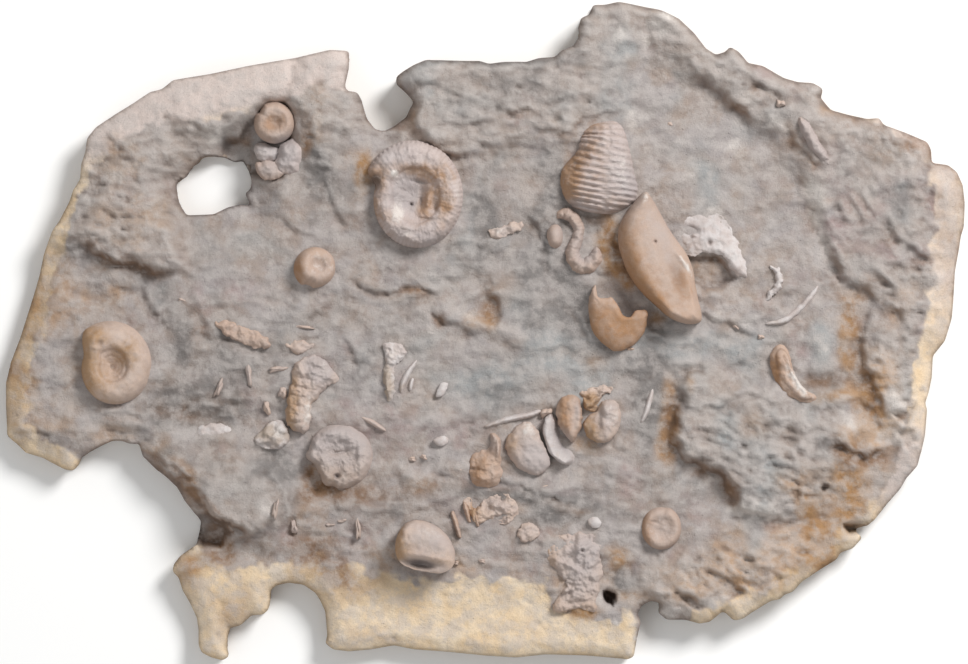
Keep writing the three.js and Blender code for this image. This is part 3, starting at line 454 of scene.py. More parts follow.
def steps_up(u, v):
    """Height in mm that the small steps add. On its high side a step's rise dies away with the
    distance, exp(-s / fade); on its low side it drops through half of its width, into a slight
    hollow; it tapers to nothing at both ends of its line. With it, the share of painted shade
    below each step."""
    total, step_shade = np.zeros_like(u), np.zeros_like(u)
    for rise, width, fade, points in SCARPS:
        low, high = np.min(points, axis=0) - 4 * fade, np.max(points, axis=0) + 4 * fade
        near = (u > low[0]) & (u < high[0]) & (v > low[1]) & (v < high[1])
        s, share = beside(points, u[near], v[near])
        ends = smooth(share / STEP_TAPER) * smooth((1 - share) / STEP_TAPER)
        climb = smooth(0.5 + s / width) * np.exp(-np.maximum(s, 0) / fade)
        foot = np.exp(-((s + 0.8 * width) / width) ** 2)
        total[near] += rise * ends * (climb - 0.3 * foot)
        # painted shade below each step: a share for the colour, not a height
        step_shade[near] += rise * ends * np.exp(-((s + 1.2 * width) / (1.6 * width)) ** 2)
    return total, step_shade


# Strokes of the preparing tool on the level floor, in the east and in the south: bearing in degrees
# clockwise, how far they are drawn out, sizes of the fine and of the broad ones in units, seeds.
STROKES = [
    (6, 2.4, (10, 14), (11, 13)),
    (52, 2.6, (11, 15), (12, 14)),
    (26, 2.4, (10, 13), (15, 16)),
]

# Texture of crust, floor and rind: heights in mm of its clods, flats, strokes, knobs and fine
# grain; then its pits: depth in mm, drawing out, spacing in units, share, reach in units, seed.
TEXTURES = [
    ((0.7, 0.5, 0.75, 0.3, 0.22), (1.0, 1.2, 14, 0.45, 5.5, 51)),
    ((0.55, 0.42, 0.3, 0.18, 0.15), (0.5, 1, 17, 0.2, 5, 52)),
    ((0.3, 0, 0.2, 0.14, 0.2), (0.6, 1.6, 15, 0.16, 4, 53)),
]
SOUTH_STROKES, SOUTH_KNOBS = 0.4, 0.3  # what the crust in the south has more of them, in mm

# Where the east and the south begin, in units: u, the border there, v, the border there.
EAST, SOUTH = (700, 80, 420, 60), (640, 60, 370, 40)


def texture(u, v, crust, rind):
    """Fine relief in mm: for each kind of surface the sum of its noises less its pits."""
    east = smooth((u - EAST[0]) / EAST[1]) * smooth((EAST[2] - v) / EAST[3])
    south = smooth((u - SOUTH[0]) / SOUTH[1]) * smooth((v - SOUTH[2]) / SOUTH[3])
    parts = ((1 - east) * (1 - south), east, south)
    strokes = sum(part * furrows(u, v, *row) for part, row in zip(parts, STROKES))
    flakes = layers(u * 0.7 + 0.4 * v, v * 1.4, 30, 4, seed=21)
    flats = smooth((flakes - 0.05) / 0.09) + smooth((flakes - 0.3) / 0.08) - smooth((-flakes - 0.2) / 0.1)
    clods = layers(u, v, 40, 5, seed=31)
    knobs = layers(u, v, 13, 3, seed=32)
    fine = layers(u, v, 6, 2, seed=41)
    along, across = turned(u, v, *STROKES[0][:2])
    relief = south * crust * (SOUTH_STROKES * strokes + SOUTH_KNOBS * knobs)
    for share, row in zip((crust, (1 - crust) * (1 - rind), rind), TEXTURES):
        heights, (depth, drawn, *pits, seed) = row
        grain = sum(mm * part for mm, part in zip(heights, (clods, flats, strokes, knobs, fine)))
        relief = relief + share * (grain - depth * pocks(along * drawn, across, *pits, seed=seed))
    return relief


def rock(u, v, from_edge):
    """Height of the rock in mm, and the shares of crust, of rind and of painted shade below the
    small steps at places.

    The floor, the broad lumps and the swells, plus the highest layer with its ledge, plus the
    small steps, less the hollows; then the texture of each kind of surface, and the worn edge."""
    shift, shift_v = (WANDER * layers(u, v, WANDER_SIZE, 4, seed) for seed in (3, 4))
    sharp = np.clip(patches(SHARP_STRETCHES, u, v), 0, 1)
    crust = np.zeros_like(u)
    rise_here = np.zeros_like(u)
    for rise, ledge, points in SHELVES.values():
        inside = outline_distance(points, u + shift, v + shift_v)
        soft = ledge + SLOPE_WIDTH * (1 - sharp)
        share = smooth(0.5 + inside / soft)
        border = CRUST_BORDER + CRUST_SPREAD * (1 - sharp)
        crust = np.maximum(crust, smooth(0.5 + (inside + 4 * shift) / border))
        rise_here = np.maximum(rise_here, rise * share)
    rind = np.zeros_like(u)
    for points in RINDS.values():
        rind = np.maximum(rind, region(points, u + 3 * shift, v + 3 * shift_v, RIND_BORDER))
    crust = crust * (1 - RIND_HIDES * rind)
    steps, step_shade = steps_up(u + 0.8 * shift, v + 0.8 * shift_v)
    height = FLOOR + rise_here + lumps(u, v) + patches(SWELLS, u, v) + steps
    for depth, edge, points in HOLLOWS.values():
        height = height - depth * region(points, u + shift * 0.6, v + shift_v * 0.6, edge)

    rough = 1 - np.clip(patches(CALM_STRETCHES, u, v), 0, 0.9)
    height = height + rough * texture(u, v, crust, rind)
    width, drop = wear(u, v)
    height = height - drop * (1 - smooth(from_edge / width))
    height = height - LIP_DROP * (1 - smooth(from_edge / LIP_WIDTH))
    return height, crust, rind, step_shade


def bed(u, v):
    """Height of the rock in mm at one place, without its fine texture."""
    u, v = np.array([[float(u)]]), np.array([[float(v)]])
    from_edge = edge_distance(u, v)[0]
    rises = [rise * region(points, u, v, ledge)[0, 0] for rise, ledge, points in SHELVES.values()]
    width, drop = wear(u, v)
    soft = lumps(u, v) + patches(SWELLS, u, v) - drop * (1 - smooth(from_edge / width))
    return FLOOR + max(rises) + soft[0, 0]


# Patches of colour on the rock.
OCHRE_PATCHES = [
    (598, 360, 22, 14, 0.5), (656, 318, 16, 8, 0.7), (352, 592, 40, 16, 0.4), (420, 486, 34, 14, 0.5),
    (326, 484, 22, 14, 0.3), (612, 222, 12, 14, 0.4), (120, 160, 24, 24, 0.3),
    (624, 266, 9, 28, 1.2, -25), (560, 170, 8, 30, 0.6, 15), (364, 178, 9, 20, 0.6),
    (880, 422, 18, 12, 0.8, 20), (860, 298, 16, 12, 0.6), (190, 565, 16, 14, 0.6),
    (740, 592, 60, 12, 0.3, -10), (395, 560, 30, 30, 0.4), (300, 500, 14, 26, 0.4),
    (660, 440, 8, 30, 0.5), (640, 596, 30, 10, 0.5), (545, 580, 14, 20, 0.4), (830, 280, 24, 8, 0.4, 40),
    (493, 308, 8, 15, 0.7), (490, 240, 6, 16, 0.4), (120, 290, 24, 14, 0.4), (110, 360, 50, 60, 0.2),
    (853, 338, 10, 34, 0.7), (868, 390, 8, 28, 0.8, -10), (840, 398, 16, 9, 0.5), (846, 462, 9, 20, 0.6),
    (672, 420, 9, 44, 0.6), (228, 556, 9, 18, 0.7, -20), (190, 485, 12, 24, 0.6, -35),
    (150, 452, 14, 8, 0.5, 40), (34, 300, 16, 70, 0.7, 15), (12, 400, 14, 50, 0.4),
    (812, 525, 18, 40, 0.9, -10), (728, 490, 8, 16, 0.7), (222, 550, 10, 14, 0.6),
    (190, 575, 20, 30, 0.4), (320, 562, 40, 26, 0.4, 15), (667, 425, 10, 38, 1), (340, 636, 120, 20, 0.3),
    (560, 630, 80, 20, 0.25), (250, 590, 60, 22, 0.3, -20), (585, 612, 20, 8, 0.9),
    (846, 480, 15, 44, 1, 4), (845, 342, 9, 34, 1), (876, 396, 9, 28, 0.9), (860, 505, 40, 18, 0.5, -40),
    (840, 396, 30, 8, 0.5, -10), (900, 424, 12, 14, 0.4), (690, 384, 7, 16, 0.8),
    (824, 560, 10, 26, 0.8, -20), (742, 575, 20, 20, 0.4), (790, 480, 24, 14, 0.4),
    (692, 545, 8, 20, 0.4), (800, 565, 50, 14, 0.6, -30), (770, 430, 36, 22, 0.25, 20),
    (475, 320, 26, 12, 0.6, 10), (415, 289, 16, 6, 0.5), (318, 120, 10, 36, 0.5, 5),
    (60, 300, 20, 60, 0.4, 20), (30, 400, 20, 40, 0.5), (612, 252, 15, 38, 1.1, -20),
    (620, 565, 12, 22, 0.8), (585, 446, 14, 12, 0.7), (826, 112, 14, 9, 0.7),
    (800, 150, 10, 26, 0.5, -35), (525, 506, 40, 8, 0.35, 10), (236, 395, 30, 12, 0.3),
    (362, 165, 10, 20, 0.7, 10), (413, 118, 8, 12, 0.6), (198, 345, 12, 30, 0.4, 10),
    (400, 66, 8, 20, 0.4), (890, 145, 24, 14, 0.5, 20), (318, 480, 14, 22, 1), (440, 410, 12, 8, 0.3),
    (730, 290, 30, 10, 0.3, 10), (710, 270, 24, 14, 0.5), (230, 620, 30, 40, 0.3),
    (170, 455, 30, 8, 0.4, 30), (655, 70, 40, 20, 0.25, 40),
]
# Umber patches: brown stains, and painted shade where the rock lies in shadow, in cracks, niches and under
# ledges.
UMBER_AND_SHADE_PATCHES = [
    (430, 492, 60, 14, 0.35), (350, 497, 40, 14, 0.3), (215, 405, 40, 20, 0.3), (160, 408, 26, 16, 0.2),
    (935, 190, 20, 40, 0.25), (355, 215, 18, 28, 0.3), (600, 362, 26, 20, 0.5), (842, 320, 18, 34, 0.4),
    (696, 405, 16, 20, 0.3), (842, 455, 18, 22, 0.5), (312, 552, 26, 20, 0.8), (842, 120, 24, 16, 0.5),
    (362, 502, 50, 18, 0.4), (352, 592, 22, 16, 0.5), (168, 412, 30, 16, 0.3), (336, 572, 22, 18, 1.3),
    (290, 546, 26, 14, 0.6), (212, 556, 20, 14, 1.2), (186, 420, 30, 14, 0.3), (330, 494, 46, 9, 0.9),
    (618, 258, 8, 30, 0.7, -22), (910, 146, 30, 12, 0.9, 20), (950, 215, 22, 60, 0.5),
    (938, 280, 12, 60, 0.3), (60, 446, 40, 9, 0.5, 8), (886, 455, 12, 20, 0.5), (545, 575, 10, 16, 0.4),
    (625, 578, 14, 10, 0.4), (245, 145, 12, 16, 0.4), (550, 215, 12, 14, 0.4), (488, 236, 9, 22, 0.3),
    (395, 606, 24, 12, 0.3), (580, 512, 24, 7, 0.5), (120, 270, 30, 12, 0.5, 12),
    (840, 290, 26, 8, 0.4, 35), (851, 464, 6, 12, 0.9), (873, 396, 5, 26, 0.6, -10),
    (870, 451, 14, 5, 0.8, -15), (822, 381, 14, 5, 0.3, 3), (903, 417, 9, 4, 0.7, -20),
    (906, 438, 6, 8, 0.6), (668, 420, 7, 40, 0.5), (731, 498, 6, 12, 0.6, -20),
    (190, 490, 8, 20, 0.6, -35), (165, 462, 16, 5, 0.7, 35), (230, 550, 6, 14, 0.6, -25),
    (206, 500, 18, 5, 0.5, 38), (630, 270, 5, 22, 0.6, -25), (641, 294, 5, 20, 0.5, -40),
    (650, 324, 14, 5, 0.5), (612, 250, 8, 26, 0.3, -20), (308, 140, 7, 30, 0.5, 5),
    (310, 476, 10, 14, 0.6), (590, 217, 20, 6, 0.4), (100, 248, 34, 10, 0.6, 20),
    (150, 270, 34, 7, 0.4, 10), (675, 420, 10, 44, 0.6), (704, 470, 20, 10, 0.6, 20),
    (732, 492, 10, 18, 0.6), (312, 478, 12, 20, 0.5), (212, 535, 22, 12, 0.5, 20),
    (556, 578, 10, 14, 0.6), (495, 303, 7, 14, 0.4, -12), (415, 290, 14, 5, 0.6), (266, 108, 8, 6, 0.9),
    (592, 222, 18, 9, 0.5), (712, 262, 18, 8, 0.6, -10), (188, 470, 22, 8, 0.4, 40),
    (855, 525, 16, 8, 0.6), (860, 456, 24, 8, 0.6, 15), (306, 140, 6, 24, 0.7, 8),
    (246, 544, 26, 14, 0.3), (400, 124, 14, 14, 0.5, 20), (372, 250, 12, 14, 0.3, -30),
    (448, 158, 40, 6, 0.5, -5), (740, 106, 22, 7, 0.7, 42), (740, 402, 16, 5, 0.4, -15),
    (850, 272, 34, 6, 0.5, 38), (806, 200, 6, 30, 0.4, -15), (427, 563, 22, 6, 0.5, 5),
    (558, 452, 10, 18, 0.3, 30), (372, 184, 8, 8, 0.7), (197, 340, 8, 30, 0.5, 10),
    (440, 316, 8, 8, 0.6, 30), (285, 176, 24, 8, 0.5), (609, 240, 6, 20, 0.3, -10),
    (900, 424, 10, 20, 0.3), (390, 640, 34, 5, 0.5),
]
# Chalky pale: chalky bloom, and painted light on lit ledge faces.
CHALK_AND_LIGHT_PATCHES = [
    (655, 120, 40, 40, 0.3), (740, 150, 40, 40, 0.3), (640, 306, 18, 14, 0.4), (748, 308, 44, 24, 0.3),
    (118, 158, 30, 26, 0.3), (100, 205, 30, 20, 0.2), (750, 500, 50, 16, 0.3), (700, 590, 50, 16, 0.5),
    (600, 640, 44, 16, 0.5), (240, 590, 36, 22, 0.4), (8, 390, 12, 40, 0.4), (880, 405, 20, 20, 0.4),
    (350, 645, 30, 14, 0.4), (636, 28, 34, 22, 0.5), (60, 215, 14, 40, 0.4, 20), (18, 380, 16, 50, 0.3),
    (940, 262, 20, 30, 0.4), (500, 650, 190, 9, 0.5), (215, 622, 16, 30, 0.5),
    (740, 604, 60, 12, 0.6, -15), (690, 612, 26, 8, 0.5), (255, 590, 16, 10, 0.5, -20),
    (400, 95, 10, 14, 0.5), (330, 640, 20, 14, 0.4), (620, 214, 8, 10, 0.4), (205, 131, 34, 12, 0.9, -10),
    (290, 103, 14, 6, 0.6), (484, 288, 14, 8, 0.5), (660, 22, 18, 12, 0.6), (715, 66, 44, 8, 0.7, 38),
    (782, 130, 40, 8, 0.6, 40), (812, 200, 8, 44, 0.7, -15), (830, 255, 8, 24, 0.5, -30),
    (660, 312, 34, 10, 0.3, 20), (676, 420, 7, 44, 0.4), (706, 470, 34, 7, 0.5, 36),
    (746, 512, 36, 8, 0.6, 20), (790, 518, 26, 8, 0.5, -5), (820, 400, 14, 8, 0.5),
    (900, 405, 26, 20, 0.6), (890, 440, 20, 14, 0.4), (395, 592, 26, 20, 0.6), (630, 630, 14, 26, 0.6),
    (560, 640, 40, 16, 0.5), (345, 610, 20, 20, 0.5), (232, 606, 22, 30, 0.5), (26, 396, 16, 24, 0.4),
    (240, 518, 26, 20, 0.4), (856, 424, 16, 12, 0.5, 20), (822, 350, 10, 18, 0.5),
    (690, 382, 12, 8, 0.5, -30), (684, 436, 5, 20, 0.4), (710, 505, 18, 20, 0.25),
    (246, 500, 24, 24, 0.3), (880, 490, 20, 26, 0.3), (618, 516, 16, 16, 0.5), (598, 598, 10, 12, 0.7),
    (820, 350, 14, 20, 0.25), (500, 232, 18, 5, 0.3, -15), (205, 432, 22, 7, 0.3),
    (770, 285, 12, 18, 0.3), (700, 200, 40, 12, 0.3, 10), (392, 300, 20, 6, 0.2),
    (462, 314, 18, 12, 0.6, 20), (480, 630, 160, 24, 0.3), (815, 215, 12, 40, 0.35, -15),
    (890, 300, 14, 24, 0.3), (890, 432, 20, 26, 0.4), (705, 455, 26, 14, 0.3, 30),
    (400, 562, 24, 20, 0.4), (732, 322, 32, 10, 0.5, 18), (690, 374, 12, 8, 0.4),
    (310, 320, 30, 8, 0.2, 10), (455, 300, 22, 10, 0.3, 20), (720, 330, 30, 14, 0.2, 10),
    (400, 350, 14, 20, 0.2), (880, 235, 14, 20, 0.2), (545, 412, 12, 8, 0.3),
]
# Painted shade: dark grey where the rock lies in shadow, in hollows, below ledges and beside the shells.
SHADE_GREY_PATCHES = [
    (312, 165, 24, 26, 0.9), (552, 168, 20, 26, 0.7), (525, 245, 50, 60, 0.5), (430, 262, 50, 18, 0.5),
    (170, 310, 22, 24, 0.6), (405, 312, 30, 20, 0.6), (360, 360, 24, 24, 0.5), (645, 362, 26, 22, 0.6),
    (168, 405, 30, 20, 0.5), (262, 405, 40, 24, 0.45), (505, 405, 34, 26, 0.7), (648, 408, 22, 24, 0.6),
    (745, 405, 30, 20, 0.4), (345, 505, 40, 16, 0.4), (425, 508, 50, 12, 0.5), (552, 500, 40, 22, 0.6),
    (696, 500, 22, 20, 0.6), (735, 70, 30, 14, 0.5, 30), (530, 90, 50, 30, 0.4), (845, 165, 26, 26, 0.5),
    (230, 375, 70, 44, 0.6), (262, 484, 50, 30, 0.5), (890, 220, 60, 60, 0.5), (320, 215, 40, 40, 0.4),
    (205, 345, 30, 40, 0.3), (340, 300, 50, 30, 0.2), (556, 205, 16, 30, 1, 10), (560, 280, 44, 44, 0.7),
    (605, 345, 50, 20, 0.7, 30), (485, 225, 14, 40, 0.9), (320, 165, 18, 24, 0.6),
    (184, 417, 40, 14, 0.9), (270, 462, 30, 18, 0.7), (400, 495, 100, 7, 0.6), (580, 514, 50, 12, 1),
    (646, 440, 12, 60, 0.9), (625, 580, 16, 10, 0.7), (782, 108, 20, 12, 0.6, 30),
    (766, 170, 10, 24, 0.3, -20), (840, 376, 9, 14, 0.6), (828, 446, 22, 14, 1),
    (95, 252, 50, 12, 0.7, 12), (185, 330, 14, 40, 0.5), (490, 56, 90, 8, 0.8), (945, 200, 20, 36, 0.6),
    (50, 442, 50, 10, 0.7, 12), (890, 145, 24, 12, 0.5, 20), (400, 110, 10, 20, 0.5),
    (520, 90, 40, 20, 0.4), (700, 560, 50, 20, 0.3, 20), (470, 440, 60, 14, 0.2), (590, 222, 22, 10, 0.7),
    (540, 500, 40, 8, 0.4, 10), (430, 580, 30, 8, 0.3), (870, 130, 30, 8, 0.4, 20),
    (211, 530, 13, 13, 1.4), (822, 381, 14, 6, 0.7), (262, 545, 20, 16, 0.5), (240, 556, 20, 14, 0.3),
    (575, 312, 22, 28, 0.8), (525, 325, 30, 12, 0.5), (655, 365, 16, 40, 0.6), (482, 218, 9, 32, 0.6),
    (552, 158, 12, 10, 0.6), (592, 222, 16, 10, 0.8), (180, 410, 48, 20, 0.6),
    (130, 270, 34, 12, 0.7, 15), (285, 470, 26, 12, 0.5), (505, 494, 60, 6, 0.6, 5),
    (322, 155, 8, 12, 0.6), (850, 330, 9, 44, 0.4), (520, 62, 80, 8, 0.6), (620, 582, 14, 12, 0.5),
    (425, 564, 20, 6, 0.7), (290, 350, 60, 34, 0.3), (60, 452, 50, 10, 0.5, 20),
    (800, 100, 40, 12, 0.4, 35), (230, 140, 12, 16, 0.7), (250, 165, 14, 10, 0.6), (90, 300, 40, 16, 0.3),
    (500, 380, 50, 20, 0.2), (700, 480, 16, 14, 0.4), (170, 450, 30, 10, 0.5, 30),
    (930, 180, 10, 20, 0.4),
]
PINK_PATCHES = [
    (225, 84, 130, 34, 1.3, -14), (130, 120, 60, 34, 1.1, -40), (320, 76, 50, 34, 1.2),
    (945, 250, 34, 150, 0.7), (900, 470, 30, 60, 0.9, 20), (900, 130, 50, 30, 0.8, 30),
]
PLUM_PATCHES = [
    (942, 210, 16, 60, 0.9), (925, 330, 16, 40, 0.6), (210, 300, 60, 40, 0.5), (300, 390, 100, 60, 0.3),
    (420, 440, 120, 50, 0.4), (520, 560, 80, 30, 0.5), (740, 540, 60, 40, 0.5), (560, 100, 60, 30, 0.3),
    (800, 330, 30, 40, 0.4), (650, 480, 60, 40, 0.4), (340, 540, 70, 30, 0.5), (860, 210, 80, 70, 0.7),
    (500, 500, 90, 20, 0.4), (130, 190, 40, 40, 0.4), (380, 270, 60, 20, 0.3), (760, 60, 60, 20, 0.4, 40),
]
TAN_PATCHES = [
    (800, 540, 60, 40, 0.5, -20), (890, 380, 26, 50, 0.5), (860, 440, 40, 40, 0.4),
    (720, 440, 60, 60, 0.2), (875, 420, 34, 60, 0.8), (770, 560, 100, 40, 0.5, -20),
    (640, 590, 60, 20, 0.4), (190, 425, 50, 30, 0.4), (855, 490, 50, 44, 0.6), (560, 585, 60, 20, 0.5),
    (125, 200, 46, 60, 0.9), (90, 285, 50, 36, 0.5), (70, 400, 60, 60, 0.4), (110, 440, 60, 30, 0.4),
    (345, 100, 40, 40, 0.5), (330, 180, 30, 40, 0.5), (470, 60, 80, 20, 0.3), (530, 130, 70, 20, 0.3),
    (220, 360, 60, 40, 0.2), (250, 420, 40, 30, 0.2), (560, 480, 90, 26, 0.3), (880, 200, 60, 80, 0.4),
    (900, 350, 40, 60, 0.4), (760, 560, 70, 30, 0.4, -20), (400, 560, 200, 24, 0.5),
    (200, 600, 60, 60, 0.4), (610, 70, 60, 40, 0.25), (700, 590, 60, 26, 0.4), (480, 290, 60, 20, 0.3),
    (730, 300, 60, 24, 0.2), (560, 180, 20, 60, 0.2),
]
COOL_PATCHES = [
    (575, 312, 26, 30, 0.9), (455, 285, 30, 16, 0.5), (590, 80, 50, 40, 0.5), (880, 190, 50, 20, 0.4),
    (880, 270, 40, 20, 0.4), (335, 145, 14, 24, 0.5), (235, 145, 20, 20, 0.9), (230, 250, 60, 40, 0.4),
    (300, 330, 60, 30, 0.35), (470, 220, 60, 50, 0.5), (365, 350, 12, 16, 0.7), (490, 370, 130, 60, 0.6),
    (720, 160, 70, 90, 0.5, -20), (590, 225, 20, 14, 0.8), (700, 350, 50, 30, 0.7),
    (823, 345, 16, 28, 0.9), (765, 450, 90, 70, 0.7), (212, 534, 16, 14, 0.7), (250, 555, 30, 14, 0.6),
    (260, 500, 40, 30, 0.35), (600, 360, 80, 60, 0.4), (620, 40, 70, 40, 0.3), (450, 85, 80, 40, 0.5),
    (570, 350, 30, 30, 0.3), (660, 340, 30, 20, 0.5), (358, 492, 12, 12, 0.5), (162, 290, 10, 16, 0.7),
    (600, 540, 20, 30, 0.3), (493, 504, 10, 10, 0.8), (770, 350, 40, 30, 0.3),
]


def blurred(values, used, reach):
    """Mean over a grid's used points under a bell of the reach in units, by Fourier transform."""
    across = np.fft.fftfreq(values.shape[0])[:, None], np.fft.rfftfreq(values.shape[1])[None, :]
    spread = 2 * (np.pi * reach / PITCH) ** 2
    bell = np.exp(-spread * (across[0] ** 2 + across[1] ** 2))
    total, weight = (np.fft.irfft2(np.fft.rfft2(part) * bell, s=values.shape)
                     for part in (values * used, used))
    return total / np.maximum(weight, 1e-3)


# Colours that also wander with a noise: patches and their share; height, size, octaves and seed of
# the noise, and what is taken off it; the share that is lost on the rind.
WANDERING = {
    # painted shade, also swayed by a noise
    "shade_grey": (SHADE_GREY_PATCHES, 1, 0.45, 34, 3, 106, 0.1, 0.8),
    # chalky bloom and painted light
    "chalk_and_light": (CHALK_AND_LIGHT_PATCHES, 1, 0.6, 26, 4, 104, 0.2, 0.7),
    "plum": (PLUM_PATCHES, 1, 0.5, 34, 3, 105, 0.1, 0),
    "tan": (TAN_PATCHES, 0.8, 0.45, 44, 3, 103, 0.15, 0),
    "cool": (COOL_PATCHES, 1, 0.6, 46, 3, 102, 0.1, 0),
}


NEAR, WIDE = 4, 13  # reaches in units of the two means that show what lies low or high
# Shares of the umber mask: in its patches, brown stain and painted shade; painted shade at the foot
# of ledges, on the lee sides turned from the light and below the small steps.
UMBER_PATCH_SHARE, FOOT_SHADE, LEE_SHADE, STEP_FOOT_SHADE = 0.9, 0.35, 0.5, 0.3


def rock_masks(u, v, height, crust, rind, step_shade, used, from_edge):
    """Shares of each colour on the rock. Hollows lie lower than their surroundings, crests higher;
    dirt and painted shade go in the hollows, and painted shade at the feet of the ledges and on the
    sides turned from the prevailing light."""
    grid = np.zeros(used.shape)
    grid[used] = height
    near, wide = blurred(grid, used, NEAR), blurred(grid, used, WIDE)
    slope_v, slope_u = np.gradient(near, PITCH)
    # Painted shade: umber on the slopes turned from the prevailing light and at the feet of the ledges.
    lee = (slope_u - slope_v)[used]
    low, foot = (near - grid)[used], (wide - near)[used]
    wander = 0.35 * layers(u, v, 26, 3, seed=101)
    inland = smooth(from_edge / 14 - 0.3)
    umber_and_shade = UMBER_PATCH_SHARE * patches(UMBER_AND_SHADE_PATCHES, u, v) + FOOT_SHADE * smooth(foot / 1.6)
    umber_and_shade = umber_and_shade + LEE_SHADE * smooth(lee / 0.5 - 0.15) * inland + STEP_FOOT_SHADE * step_shade
    masks = {
        "crust": crust,
        "rind": rind,
        "ochre": patches(OCHRE_PATCHES, u, v) + 0.6 * wander,
        "umber_and_shade": umber_and_shade + 0.5 * wander,
        "pink": patches(PINK_PATCHES, u, v),
        # dirt and painted shade in the small hollows
        "hollow_dirt_and_shade": smooth(low / 0.9),
        "crest": smooth(-low / 0.7),
    }
    for key, (table, share, sway, size, octaves, seed, less, lost) in WANDERING.items():
        laid = share * patches(table, u, v) + sway * layers(u, v, size, octaves, seed) - less
        masks[key] = laid * (1 - lost * rind)
    return {key: np.clip(value, 0, 1) for key, value in masks.items()}


def lumps(u, v):
    """The rock's broad lumps in mm: random heights on a square lattice, blended smoothly."""
    x, y = u / LUMP_SIZE, v / LUMP_SIZE
    i, j = np.floor(x), np.floor(y)
    s, t = smooth(x - i), smooth(y - j)
    near = scatter(i, j, 0) * (1 - s) + scatter(i + 1, j, 0) * s
    far = scatter(i, j + 1, 0) * (1 - s) + scatter(i + 1, j + 1, 0) * s
    return LUMPINESS * (2 * (near * (1 - t) + far * t) - 1)


# ---- making meshes ----
def place(u, v, z_mm):
    """Points in metres of places in drawing units and heights in mm."""
    return np.stack([(u - CENTRE[0]) * UNIT, (CENTRE[1] - v) * UNIT, z_mm * MM + 0 * u], axis=-1)


def new_piece(name, points, faces, masks):
    """An object of points in metres, face arrays of three or four corners, and masks per point."""
    mesh = bpy.data.meshes.new(name)
    mesh.vertices.add(len(points))
    mesh.vertices.foreach_set("co", np.ascontiguousarray(points, dtype=np.float32).ravel())
    corners = np.concatenate([part.ravel() for part in faces])
    counts = np.concatenate([np.full(len(part), part.shape[1]) for part in faces])
    mesh.loops.add(len(corners))
    mesh.loops.foreach_set("vertex_index", corners.astype(np.int32))
    mesh.polygons.add(len(counts))
    mesh.polygons.foreach_set("loop_start", (np.cumsum(counts) - counts).astype(np.int32))
    mesh.update(calc_edges=True)
    mesh.shade_smooth()
    for mask, values in masks.items():
        layer = mesh.attributes.new(mask, "FLOAT", "POINT")
        layer.data.foreach_set("value", np.asarray(values, dtype=np.float32).ravel())
    piece = bpy.data.objects.new(name, mesh)
    bpy.context.scene.collection.objects.link(piece)
    return piece


def faced_out(points, quads, triangles):
    """The faces of a closed skin, all turned round if the volume that they enclose is negative."""
    fans = np.concatenate([quads[:, [0, 1, 2]], quads[:, [0, 2, 3]], triangles])
    a, b, c = (points[fans[:, k]] - points.mean(axis=0) for k in range(3))
    if (a * np.cross(b, c)).sum() < 0:
        return quads[:, ::-1], triangles[:, ::-1]
    return quads, triangles


def ring_skin(rings):
    """Points and faces of a closed skin over rings, an array of (level, step, 3). A pole in the
    middle of the first ring and one in the middle of the last close it."""
    levels, around = rings.shape[:2]
    points = np.concatenate([rings.reshape(-1, 3), [rings[0].mean(axis=0)], [rings[-1].mean(axis=0)]])
    ring, step = np.meshgrid(np.arange(levels - 1), np.arange(around), indexing="ij")
    after = (step + 1) % around
    low, high = ring * around, (ring + 1) * around
    quads = np.stack([low + step, low + after, high + after, high + step], axis=-1).reshape(-1, 4)
    first = np.arange(around)
    following = (first + 1) % around
    last, pole = (levels - 1) * around, np.full(around, levels * around)
    caps = np.concatenate([
        np.stack([pole, following, first], axis=-1),
        np.stack([pole + 1, last + first, last + following], axis=-1),
    ])
    return (points, *faced_out(points, quads, caps))


# Patches on the shells.
# Stain patches on the shells; many are painted shade on the flanks and notches that lie in shadow.
SHELL_STAINS_AND_SHADE = [
    (113, 367, 44, 44, 0.3), (590, 404, 12, 10, 0.8), (340, 470, 16, 14, 0.3), (556, 590, 8, 10, 0.5),
    (588, 604, 14, 8, 0.4), (441, 560, 14, 5, 0.5, 10), (418, 170, 18, 7, 0.4, 8), (428, 202, 7, 18, 0.3),
    (448, 208, 7, 8, 0.4), (82, 362, 14, 40, 1), (97, 336, 12, 9, 0.8), (128, 354, 12, 12, 0.6, -20),
    (299, 268, 6, 14, 0.8), (276, 124, 12, 10, 0.9), (374, 174, 14, 14, 0.9), (424, 172, 26, 9, 0.6, 10),
    (424, 204, 9, 19, 0.8, 10), (444, 200, 10, 30, 0.6), (374, 216, 8, 26, 0.4),
    (568, 178, 11, 34, 1.1, 10), (590, 150, 14, 30, 0.4), (590, 122, 20, 8, 0.4),
    (627, 246, 13, 40, 0.7, -12), (648, 292, 12, 30, 0.9, -40), (680, 284, 10, 20, 0.9, -22),
    (610, 328, 28, 30, 0.85), (640, 320, 26, 22, 0.5), (776, 368, 6, 22, 0.8, -10),
    (564, 415, 8, 22, 0.8), (590, 430, 10, 12, 0.9), (480, 468, 14, 16, 0.5), (512, 442, 8, 20, 0.6, -20),
    (293, 400, 6, 32, 0.9, 4), (266, 430, 10, 8, 0.9), (278, 438, 14, 12, 0.5), (399, 540, 10, 20, 0.9),
    (645, 526, 8, 18, 0.9), (550, 555, 9, 18, 0.5), (328, 470, 20, 18, 0.5), (352, 466, 12, 20, 0.4),
    (340, 453, 12, 4, 0.8), (386, 384, 7, 18, 1.3), (806, 130, 6, 30, 0.4, -35), (590, 402, 8, 9, 1.1),
    (474, 512, 8, 12, 0.5),
]
